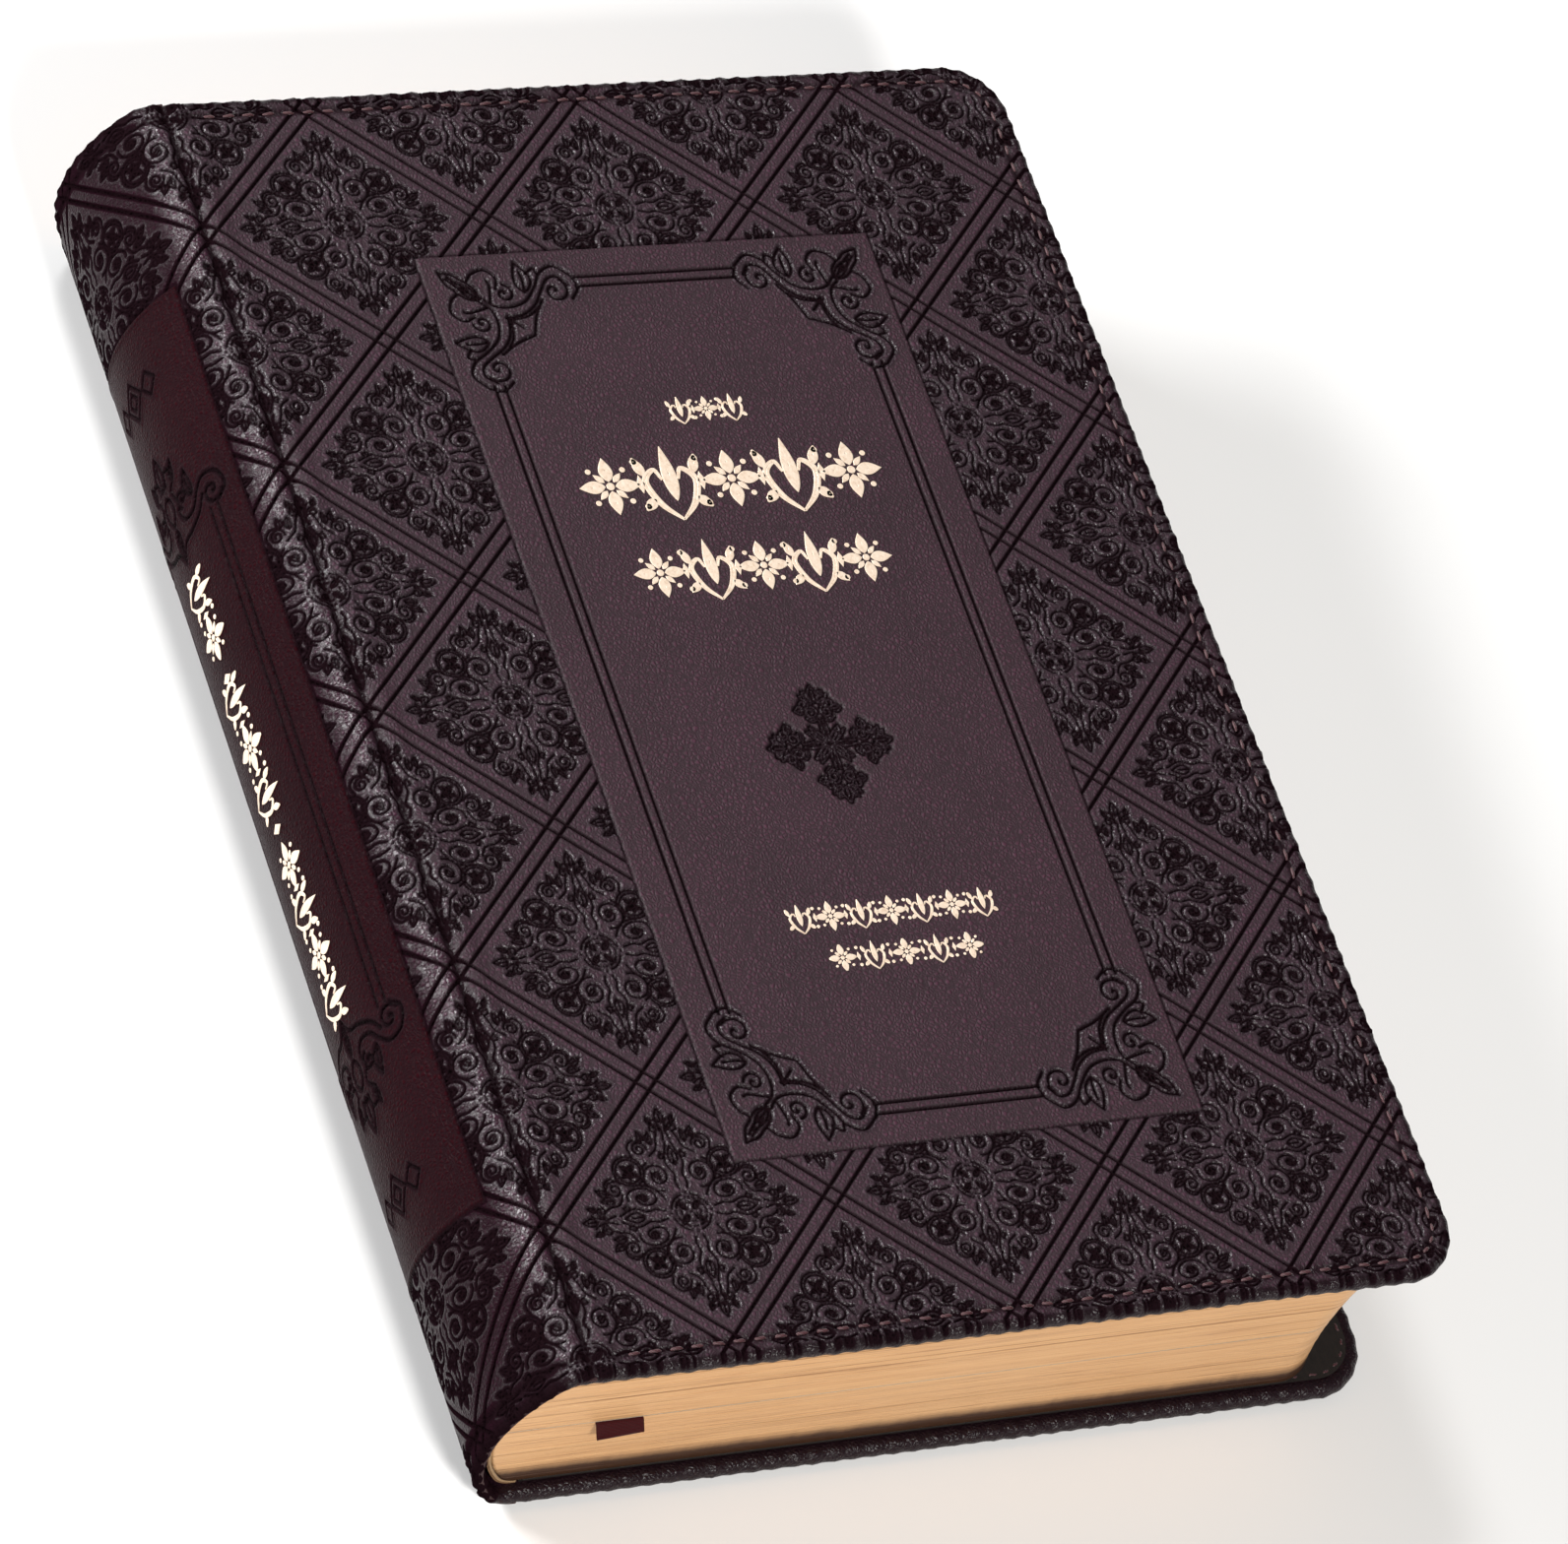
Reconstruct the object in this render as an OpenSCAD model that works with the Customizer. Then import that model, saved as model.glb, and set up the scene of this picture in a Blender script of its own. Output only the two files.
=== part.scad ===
// A leather-bound bible, closed and lying on its back cover.
// +Y runs towards the head of the book, +Z out of the front cover, and the
// spine is on the -X side. The origin is the centre of the underside.

/* [Book] */
// Height of the covers, head to tail
book_h = 236; // [200:1:260]
// Thickness of the closed book over both covers
book_t = 40; // [34:1:46]
// Length of a cover from its hinge crease to its fore-edge
cover_l = 151; // [130:1:170]
// How far the rounded spine stands out past the hinge creases
spine_bulge = 12; // [10:0.5:13]
// Radius of the spine's shoulders, where they meet the creases
shoulder_r = 8; // [6:0.5:9]
// Corner radius of the covers at the fore-edge
corner_r = 10; // [6:0.5:16]

/* [Cover layers] */
// Thickness of the leather
skin_t = 0.8; // [0.6:0.1:1.2]
// Thickness of the board inside a cover
board_t = 2; // [1.5:0.1:2.5]
// Thickness of the leather turned in over the edge of the board
lip_t = 0.3; // [0.2:0.1:0.5]
// Width of the leather turned in over the edge of the board
lip_w = 14; // [8:1:20]
// Thickness of the endpaper pasted down inside a cover
pastedown_t = 0.2; // [0.1:0.05:0.3]

/* [Pages] */
// How far the covers stand out past the pages at head and tail
head_square = 2.5; // [1.5:0.5:5]
// How far the covers stand out past the first and last pages at the fore-edge
fore_square = 9.5; // [4:0.5:12]
// How far the fore-edge of the pages curves inwards
fore_hollow = 2; // [1:0.5:4]
// Corner radius of the pages
page_corner_r = 8; // [5:0.5:12]
// Number of folded sections in each half of the book
section_count = 8; // [4:1:12]
// Thickness of a flyleaf
flyleaf_t = 0.15; // [0.1:0.05:0.2]

/* [Ribbon] */
// Width of the ribbon marker
ribbon_w = 8; // [5:0.5:10]
// Thickness of the ribbon marker
ribbon_t = 0.3; // [0.2:0.05:0.5]
// Distance from the hinge crease to the middle of the ribbon
ribbon_from_crease = 11.5; // [9:0.5:20]
// Length of the ribbon's drooping end below the pages
ribbon_end = 2.6; // [1.5:0.1:2.6]

/* [Stitching] */
// Distance from a cover's edge to the middle of its stitching
stitch_inset = 3.3; // [2.5:0.1:5]
// Distance from one stitch to the next
stitch_pitch = 3.5; // [3:0.1:5]
// Length of one stitch
stitch_len = 2.5; // [1.5:0.1:2.8]
// Width of one stitch
stitch_w = 0.6; // [0.4:0.05:0.8]

/* [Hidden] */
$fn = 96;

over = 1;                 // how far a cutting shape runs past what it cuts
gap = 0.1;                // clearance between leaves, and at the hinges
layer_gap = 0.05;         // clearance between the layers of the spine

mid_z = book_t / 2;
spine_x = -(cover_l + spine_bulge) / 2;
crease_x = spine_x + spine_bulge;
fore_x = spine_x + spine_bulge + cover_l;
cover_t = skin_t + board_t + lip_t + pastedown_t;

// The outside of the spine is a wide arc between two shoulder arcs that it
// meets smoothly. Every layer under it has the same centres.
shoulder_h = mid_z - shoulder_r;
spine_r = (pow(spine_bulge, 2) + pow(shoulder_h, 2) - pow(shoulder_r, 2))
    / (2 * (spine_bulge - shoulder_r));
spine_cx = spine_x + spine_r;
arc_sin = shoulder_h / (spine_r - shoulder_r);

// How deep each layer of the spine lies under the outside of the leather
stiffener_in = skin_t + layer_gap;
stiffener_t = 0.7;
lining_in = stiffener_in + stiffener_t + 1.2;
lining_t = 0.3;
mull_in = lining_in + lining_t + layer_gap;
mull_t = 0.4;
block_in = mull_in + mull_t + layer_gap;

// The pages lie between the flyleaves.
flyleaf_z = cover_t + gap;
block_z = flyleaf_z + flyleaf_t + gap;
page_y = book_h / 2 - head_square;
page_x = fore_x - fore_square;
half_t = mid_z - block_z;
hollow_r = (half_t * half_t + fore_hollow * fore_hollow) / (2 * fore_hollow);
section_t = (half_t - gap) / section_count;
section_gap = 0.04;

thread_r = 0.2;
thread_slot = 0.6;
thread_inset = 1.6;       // from the fold of a section to its thread

stitch_groove_w = 0.9;
stitch_groove_d = 0.5;
stitch_t = 0.35;
stitch_r = corner_r - stitch_inset;
stitch_run = cover_l - corner_r - 1.5;
stitch_turn = PI / 2 * stitch_r;
stitch_side = book_h - 2 * corner_r;
stitch_path = 2 * stitch_run + 2 * stitch_turn + stitch_side;
stitch_count = floor(stitch_path / stitch_pitch);

foil_t = 0.2;
foil_x = 5.5;             // middle of the front cover's foil rows
// Each row of foil ornaments on the front cover: y, height, length, count
foil_rows = [
    [52, 5.5, 14, 3],
    [38.3, 14.8, 54, 5],
    [21.4, 11.6, 46, 5],
    [-43.8, 5.5, 37.5, 7],
    [-51.4, 5.2, 28, 5]
];
// The foil ornaments along the spine: y of the first and last, and the count
spine_foil_y = 52;
spine_foil_count = 9;
spine_foil_size = 6;

// ---- shapes shared by several sub-parts ----

// Outline of a cover, or of a sheet inset from its edges
module cover_outline(inset = 0, from_x = crease_x) {
    r = corner_r - min(inset, corner_r - 3);
    x1 = fore_x - inset;
    y1 = book_h / 2 - inset;
    translate([from_x, -y1]) square([x1 - r - from_x, 2 * y1]);
    translate([from_x, -y1 + r]) square([x1 - from_x, 2 * (y1 - r)]);
    for (side = [-1, 1]) translate([x1 - r, side * (y1 - r)]) circle(r);
}

// Anything of the back cover, carried over to the front cover
module on_front() {
    translate([0, 0, book_t]) mirror([0, 0, 1]) children();
}

// Cross-section of the spine, at a depth under the outside of its leather
module spine_profile(depth) {
    far = 2 * spine_r;
    far_z = far * arc_sin;
    far_x = sqrt(far * far - far_z * far_z);
    intersection() {
        translate([spine_cx, mid_z]) circle(spine_r - depth, $fn = 180);
        translate([spine_cx, mid_z]) polygon([[0, 0], [-far_x, far_z], [-far_x, -far_z]]);
    }
    for (side = [-1, 1]) translate([crease_x, mid_z + side * shoulder_h])
        circle(shoulder_r - depth);
}

// Anything drawn in X and Z, extruded from head to tail
module along_book(half_length) {
    translate([0, half_length, 0]) rotate([90, 0, 0])
        linear_extrude(2 * half_length) children();
}

// The lower half of one layer of the spine
module spine_layer(depth, t, half_length = book_h / 2) {
    along_book(half_length) intersection() {
        difference() {
            spine_profile(depth);
            spine_profile(depth + t);
        }
        translate([spine_x - over, depth])
            square([spine_bulge + over, mid_z - gap / 10 - depth]);
    }
}

// ---- covers ----

module leather_wrap() {
    leather_t = cover_t - pastedown_t;
    difference() {
        linear_extrude(leather_t) cover_outline();
        translate([0, 0, skin_t]) linear_extrude(board_t)
            cover_outline(skin_t, crease_x - over);
        translate([0, 0, skin_t]) linear_extrude(leather_t)
            cover_outline(lip_w, crease_x - over);
        stitch_groove();
    }
}

module stitch_groove() {
    translate([0, 0, -over]) linear_extrude(over + stitch_groove_d) difference() {
        cover_outline(stitch_inset - stitch_groove_w / 2, crease_x - over);
        cover_outline(stitch_inset + stitch_groove_w / 2, crease_x - 2 * over);
    }
}

// A stitch at distance s along the head, the fore-edge and the tail
module place_stitch(s) {
    x0 = fore_x - corner_r;
    y0 = book_h / 2 - corner_r;
    s1 = s - stitch_run;
    s2 = s1 - stitch_turn;
    s3 = s2 - stitch_side;
    s4 = s3 - stitch_turn;
    if (s1 < 0) translate([x0 + s1, y0 + stitch_r, 0]) children();
    else if (s2 < 0) translate([x0, y0, 0]) rotate(-s1 / stitch_turn * 90)
        translate([0, stitch_r, 0]) children();
    else if (s3 < 0) translate([x0 + stitch_r, y0 - s2, 0]) rotate(90) children();
    else if (s4 < 0) translate([x0, -y0, 0]) rotate(-90 - s3 / stitch_turn * 90)
        translate([0, stitch_r, 0]) children();
    else translate([x0 - s4, -y0 - stitch_r, 0]) children();
}

module cover_stitching() {
    for (i = [0 : stitch_count - 1]) place_stitch((i + 0.5) * stitch_pitch)
        translate([-stitch_len / 2, -stitch_w / 2, stitch_groove_d - stitch_t])
            cube([stitch_len, stitch_w, stitch_t]);
}

module cover_board() {
    translate([0, 0, skin_t]) linear_extrude(board_t)
        cover_outline(skin_t + layer_gap, crease_x + 2);
}

module cover_pastedown() {
    translate([0, 0, cover_t - pastedown_t]) linear_extrude(pastedown_t)
        cover_outline(head_square, crease_x + 0.5);
}

module flyleaf() {
    translate([0, 0, flyleaf_z]) linear_extrude(flyleaf_t) page_outline(crease_x + 1);
}

// ---- foil ornaments ----

module lozenge(w, h) {
    polygon([[-w / 2, 0], [0, -h / 2], [w / 2, 0], [0, h / 2]]);
}

module front_foil_shapes(depth) {
    translate([foil_x, 0, book_t - depth]) for (row = foil_rows) {
        step = row[2] / row[3];
        for (i = [0 : row[3] - 1])
            translate([(i - (row[3] - 1) / 2) * step, row[0], 0])
                linear_extrude(depth + over) lozenge(0.8 * step, row[1]);
    }
}

module spine_foil_shapes() {
    for (i = [0 : spine_foil_count - 1]) {
        y = spine_foil_y * (1 - 2 * i / (spine_foil_count - 1));
        translate([spine_x - over, y, mid_z]) rotate([0, 90, 0])
            linear_extrude(3 * over) lozenge(spine_foil_size, spine_foil_size);
    }
}

// ---- spine ----

module spine_leather() {
    difference() {
        spine_layer(0, skin_t);
        spine_foil();
    }
}

module spine_foil() {
    intersection() {
        spine_layer(0, foil_t);
        spine_foil_shapes();
    }
}

module spine_stiffener() { spine_layer(stiffener_in, stiffener_t); }
module spine_lining() { spine_layer(lining_in, lining_t, page_y); }
module spine_mull() { spine_layer(mull_in, mull_t, page_y); }

// ---- pages ----

// Outline of a page from the spine to its rounded fore-edge corners
module page_outline(from_x) {
    r = page_corner_r;
    translate([from_x, -page_y]) square([page_x - r - from_x, 2 * page_y]);
    translate([from_x, -page_y + r]) square([page_x - from_x, 2 * (page_y - r)]);
    for (side = [-1, 1]) translate([page_x - r, side * (page_y - r)]) circle(r);
}

// The whole block of pages, rounded at the spine and hollow at the fore-edge
module page_block() {
    difference() {
        intersection() {
            linear_extrude(book_t) page_outline(spine_x);
            along_book(page_y) {
                spine_profile(block_in);
                translate([crease_x, 0]) square([cover_l, book_t]);
            }
        }
        translate([page_x - fore_hollow + hollow_r, 0, mid_z]) rotate([90, 0, 0])
            cylinder(h = book_h, r = hollow_r, center = true, $fn = 360);
    }
}

// Height of the underside of section i, counted from the back cover
function section_z(i) = block_z + i * section_t;
// Where the fold of a section lies at height z
function arc_x(r, d) = sqrt(r * r - d * d);
function fold_x(z) = let (d = abs(z - mid_z), r = spine_r - block_in)
    d < r * arc_sin
        ? spine_cx - arc_x(r, d)
        : crease_x - arc_x(shoulder_r - block_in, d - shoulder_h);
// Where the thread of section i lies
function thread_x(i) = fold_x(section_z(i)) + thread_inset;
function thread_z(i) = section_z(i) + section_t / 2;

module sections(with_ribbon_slot) {
    for (i = [0 : section_count - 1]) difference() {
        intersection() {
            page_block();
            translate([spine_x, -book_h / 2, section_z(i)])
                cube([2 * fore_x, book_h, section_t - section_gap]);
        }
        translate([thread_x(i), 0, thread_z(i)])
            cube([thread_slot, book_h, thread_slot], center = true);
        if (with_ribbon_slot && i == section_count - 1) ribbon_slot();
    }
}

module sewing_thread() {
    for (i = [0 : section_count - 1])
        translate([thread_x(i), page_y - 1, thread_z(i)]) rotate([90, 0, 0])
            cylinder(h = 2 * page_y - 2, r = thread_r, $fn = 24);
}

// ---- ribbon ----

ribbon_x = crease_x + ribbon_from_crease;
ribbon_z = mid_z - gap / 2 - ribbon_t;
ribbon_drop = 50;         // angle at which the free end droops
ribbon_bend_y = 0.3;      // from the pages' tail to where it bends down
ribbon_turn_y = 60;       // above this height it slants to the spine

// Plan of the ribbon between the pages, from the spine's head to the tail
module ribbon_plan(grow, tail_y) {
    w = ribbon_w / 2 + grow;
    head_y = page_y - 3 + grow;
    head_x = fold_x(ribbon_z) + w + gap;
    polygon([
        [ribbon_x - w, tail_y], [ribbon_x + w, tail_y],
        [ribbon_x + w, ribbon_turn_y], [head_x + w, head_y],
        [head_x - w, head_y], [ribbon_x - w, ribbon_turn_y]
    ]);
}

module ribbon_slot() {
    translate([0, 0, ribbon_z - gap]) linear_extrude(book_t)
        ribbon_plan(gap, -book_h / 2 - over);
}

module ribbon_marker() {
    reach = ribbon_end * cos(ribbon_drop);
    fall = ribbon_end * sin(ribbon_drop);
    color("#4a1420") {
        translate([0, 0, ribbon_z]) linear_extrude(ribbon_t) ribbon_plan(0, -page_y);
        translate([ribbon_x - ribbon_w / 2, -page_y, ribbon_z]) rotate([90, 0, 90])
            linear_extrude(ribbon_w) polygon([
                [over, 0], [over, ribbon_t], [-ribbon_bend_y, ribbon_t],
                [-ribbon_bend_y - reach, ribbon_t - fall],
                [-ribbon_bend_y - reach, -fall], [-ribbon_bend_y, 0]
            ]);
    }
}

// ---- one module for each sub-part ----

module front_cover_leather() {
    color("#3b2226") difference() {
        on_front() leather_wrap();
        front_foil_shapes(foil_t);
    }
}
module front_cover_board() { color("#8a7a62") on_front() cover_board(); }
module front_cover_pastedown() { color("#17120f") on_front() cover_pastedown(); }
module front_cover_stitching() { color("#3f1118") on_front() cover_stitching(); }
module front_cover_foil() {
    color("#e0cf9c") intersection() {
        front_foil_shapes(foil_t);
        translate([-book_h, -book_h, 0]) cube([2 * book_h, 2 * book_h, book_t]);
    }
}
module front_flyleaf() { color("#17120f") on_front() flyleaf(); }

module back_cover_leather() { color("#3b2226") leather_wrap(); }
module back_cover_board() { color("#8a7a62") cover_board(); }
module back_cover_pastedown() { color("#17120f") cover_pastedown(); }
module back_cover_stitching() { color("#3f1118") cover_stitching(); }
module back_flyleaf() { color("#17120f") flyleaf(); }

module spine_leather_upper() { color("#4a1f27") on_front() spine_leather(); }
module spine_leather_lower() { color("#4a1f27") spine_leather(); }
module spine_foil_upper() { color("#e0cf9c") on_front() spine_foil(); }
module spine_foil_lower() { color("#e0cf9c") spine_foil(); }
module spine_stiffener_upper() { color("#8a7a62") on_front() spine_stiffener(); }
module spine_stiffener_lower() { color("#8a7a62") spine_stiffener(); }
module spine_lining_upper() { color("#b89c6a") on_front() spine_lining(); }
module spine_lining_lower() { color("#b89c6a") spine_lining(); }
module spine_mull_upper() { color("#d8d2c0") on_front() spine_mull(); }
module spine_mull_lower() { color("#d8d2c0") spine_mull(); }

module upper_sections() { color("#c9a868") on_front() sections(false); }
module lower_sections() { color("#c9a868") sections(true); }
module upper_sewing_thread() { color("#e8e2d2") on_front() sewing_thread(); }
module lower_sewing_thread() { color("#e8e2d2") sewing_thread(); }

front_cover_leather();
front_cover_board();
front_cover_pastedown();
front_cover_stitching();
front_cover_foil();
front_flyleaf();
back_cover_leather();
back_cover_board();
back_cover_pastedown();
back_cover_stitching();
back_flyleaf();
spine_leather_upper();
spine_leather_lower();
spine_foil_upper();
spine_foil_lower();
spine_stiffener_upper();
spine_stiffener_lower();
spine_lining_upper();
spine_lining_lower();
spine_mull_upper();
spine_mull_lower();
upper_sections();
lower_sections();
upper_sewing_thread();
lower_sewing_thread();
ribbon_marker();
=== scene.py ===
"""Looks of the leather-bound bible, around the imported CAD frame. Lengths are in millimetres
until a mesh is made, and the frame's axes are kept: +Y to the head, +Z out of the front cover."""
import math

import bmesh
import bpy
import numpy as np
from mathutils import Matrix, Vector


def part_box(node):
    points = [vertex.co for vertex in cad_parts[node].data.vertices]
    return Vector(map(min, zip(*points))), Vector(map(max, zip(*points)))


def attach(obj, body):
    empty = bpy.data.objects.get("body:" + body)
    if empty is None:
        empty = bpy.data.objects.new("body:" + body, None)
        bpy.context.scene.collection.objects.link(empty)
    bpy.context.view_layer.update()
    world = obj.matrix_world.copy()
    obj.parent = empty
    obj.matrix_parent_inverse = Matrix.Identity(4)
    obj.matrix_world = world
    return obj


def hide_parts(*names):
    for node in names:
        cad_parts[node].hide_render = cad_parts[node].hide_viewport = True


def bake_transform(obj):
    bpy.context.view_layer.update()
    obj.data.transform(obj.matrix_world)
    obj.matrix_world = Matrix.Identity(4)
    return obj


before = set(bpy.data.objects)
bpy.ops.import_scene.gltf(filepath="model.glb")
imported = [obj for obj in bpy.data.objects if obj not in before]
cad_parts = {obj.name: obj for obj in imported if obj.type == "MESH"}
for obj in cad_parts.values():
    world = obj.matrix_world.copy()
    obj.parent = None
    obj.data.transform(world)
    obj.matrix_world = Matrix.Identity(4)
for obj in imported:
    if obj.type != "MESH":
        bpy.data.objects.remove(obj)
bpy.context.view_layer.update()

MM = 0.001


# ---------------------------------------------------------------- places, from the frame
def box_mm(node):
    low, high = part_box(node)
    return np.array(low) / MM, np.array(high) / MM


leather_low, leather_high = box_mm("front_cover_leather")
upper_high = box_mm("upper_sections")[1]
lower_low = box_mm("lower_sections")[0]
ribbon_high = box_mm("ribbon_marker")[1]
flyleaf_low, flyleaf_high = box_mm("front_flyleaf")

CREASE_X = leather_low[0]
FORE_X = leather_high[0]
HALF_H = leather_high[1]
TOP_Z = leather_high[2]
MID_Z = TOP_Z / 2
SPINE_X = box_mm("spine_leather_upper")[0][0]
COVER_T = TOP_Z - leather_low[2]
PAGE_X = upper_high[0]
PAGE_Y = upper_high[1]

CORNER_R = 10.0
PAGE_CORNER_R = 8.0
FORE_HOLLOW = 2.0
SHOULDER_R = 8.0

# The spine's cross-section is a wide arc between two shoulder arcs.
BULGE = CREASE_X - SPINE_X
SHOULDER_H = MID_Z - SHOULDER_R
SPINE_R = (BULGE**2 + SHOULDER_H**2 - SHOULDER_R**2) / (2 * (BULGE - SHOULDER_R))
SPINE_CX = SPINE_X + SPINE_R
ARC_ANGLE = math.asin(SHOULDER_H / (SPINE_R - SHOULDER_R))
SHOULDER_L = SHOULDER_R * (math.pi / 2 - ARC_ANGLE)
SPINE_L = 2 * SHOULDER_L + 2 * SPINE_R * ARC_ANGLE

# The embossed lattice: its pitch across and along the book, and its label panels.
PITCH_X = 48.1
PITCH_Y = 46.13
LINE_GAP = 1.2
LINE_W = 0.18
PANEL = (5.25, 41.05, 84.8)
LABEL_S = 8.0
DEEPEST = 0.72
STITCH_INSET = 3.3
STITCH_PITCH = 3.5


def smooth(t):
    t = np.clip(t, 0, 1)
    return t * t * (3 - 2 * t)


def wander(t, scale, seed):
    """A smooth random curve of about -1 to 1 that changes over the given length."""
    rng = np.random.default_rng(seed)
    knots = rng.uniform(-1, 1, 4096)
    u = np.asarray(t, float) / scale + 2048
    i = np.floor(u).astype(int) % 4095
    f = smooth(u - np.floor(u))
    return knots[i] * (1 - f) + knots[i + 1] * f


# ---------------------------------------------------------------- relief drawn with curves
def spiral(cx, cy, r0, r1, start, turns, squeeze=1.0, tilt=0.0):
    n = max(12, int(abs(turns) * 2 * math.pi * max(r0, r1) / 0.2))
    t = np.linspace(0, 1, n)
    a = math.radians(start) + t * turns * 2 * math.pi
    r = r0 + (r1 - r0) * t
    x, y = r * np.cos(a), r * np.sin(a) * squeeze
    c, s = math.cos(math.radians(tilt)), math.sin(math.radians(tilt))
    return np.c_[cx + x * c - y * s, cy + x * s + y * c]


def ring(cx, cy, r, squeeze=1.0, tilt=0.0):
    return spiral(cx, cy, r, r, 0, 1, squeeze, tilt)


def curve(*points):
    """A smooth curve through the points, as a Catmull-Rom spline."""
    p = np.array(points, float)
    p = np.vstack([2 * p[0] - p[1], p, 2 * p[-1] - p[-2]])
    out = []
    for a, b, c, d in zip(p[:-3], p[1:-2], p[2:-1], p[3:]):
        n = max(4, int(np.hypot(*(c - b)) / 0.2))
        t = np.linspace(0, 1, n, endpoint=False)[:, None]
        out.append(
            0.5 * (2 * b + (c - a) * t + (2 * a - 5 * b + 4 * c - d) * t**2
                   + (3 * b - a - 3 * c + d) * t**3)
        )
    return np.vstack(out + [p[-2:-1]])


def leaf(x0, y0, x1, y1, width, bend=0.0):
    """The outline of a leaf from its base to its tip, and its midrib."""
    base, tip = np.array([x0, y0], float), np.array([x1, y1], float)
    along = tip - base
    length = np.hypot(*along)
    side = np.array([-along[1], along[0]]) / length
    t = np.linspace(0, 1, max(8, int(length / 0.2)))
    spine = base + t[:, None] * along + (bend * np.sin(math.pi * t))[:, None] * side
    half = (width / 2 * np.sin(math.pi * t**0.8))[:, None] * side
    return [spine + half, spine - half, spine[: int(len(t) * 0.7)]]


def dot(x, y):
    return np.array([[x, y]])


class Relief:
    """Grooves on a raster: for each point, the distance in mm to the nearest groove's wall."""

    def __init__(self, x0, y0, x1, y1, step=0.1, reach=1.6):
        self.x0, self.y0, self.step, self.reach = x0, y0, step, reach
        self.x = np.arange(x0, x1 + step, step)
        self.y = np.arange(y0, y1 + step, step)
        self.wall = np.full((len(self.y), len(self.x)), reach)

    def groove(self, line, half_width=0.22):
        reach = self.reach + half_width
        n = int(reach / self.step) + 1
        widths = np.broadcast_to(half_width, len(line))
        for (px, py), w in zip(line, widths):
            i = int((px - self.x0) / self.step)
            j = int((py - self.y0) / self.step)
            i0, i1 = max(i - n, 0), min(i + n + 1, len(self.x))
            j0, j1 = max(j - n, 0), min(j + n + 1, len(self.y))
            if i0 >= i1 or j0 >= j1:
                continue
            d = np.hypot(self.x[i0:i1][None] - px, self.y[j0:j1][:, None] - py) - w
            part = self.wall[j0:j1, i0:i1]
            np.minimum(part, d, out=part)

    def draw(self, lines, half_width=0.22):
        for line in lines:
            if isinstance(line, list):
                self.draw(line, half_width)
            else:
                self.groove(line, half_width)

    def at(self, x, y):
        u = np.clip((x - self.x0) / self.step, 0, len(self.x) - 1.001)
        v = np.clip((y - self.y0) / self.step, 0, len(self.y) - 1.001)
        i, j = u.astype(int), v.astype(int)
        fu, fv = u - i, v - j
        w = self.wall
        return ((w[j, i] * (1 - fu) + w[j, i + 1] * fu) * (1 - fv)
                + (w[j + 1, i] * (1 - fu) + w[j + 1, i + 1] * fu) * fv)


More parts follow.
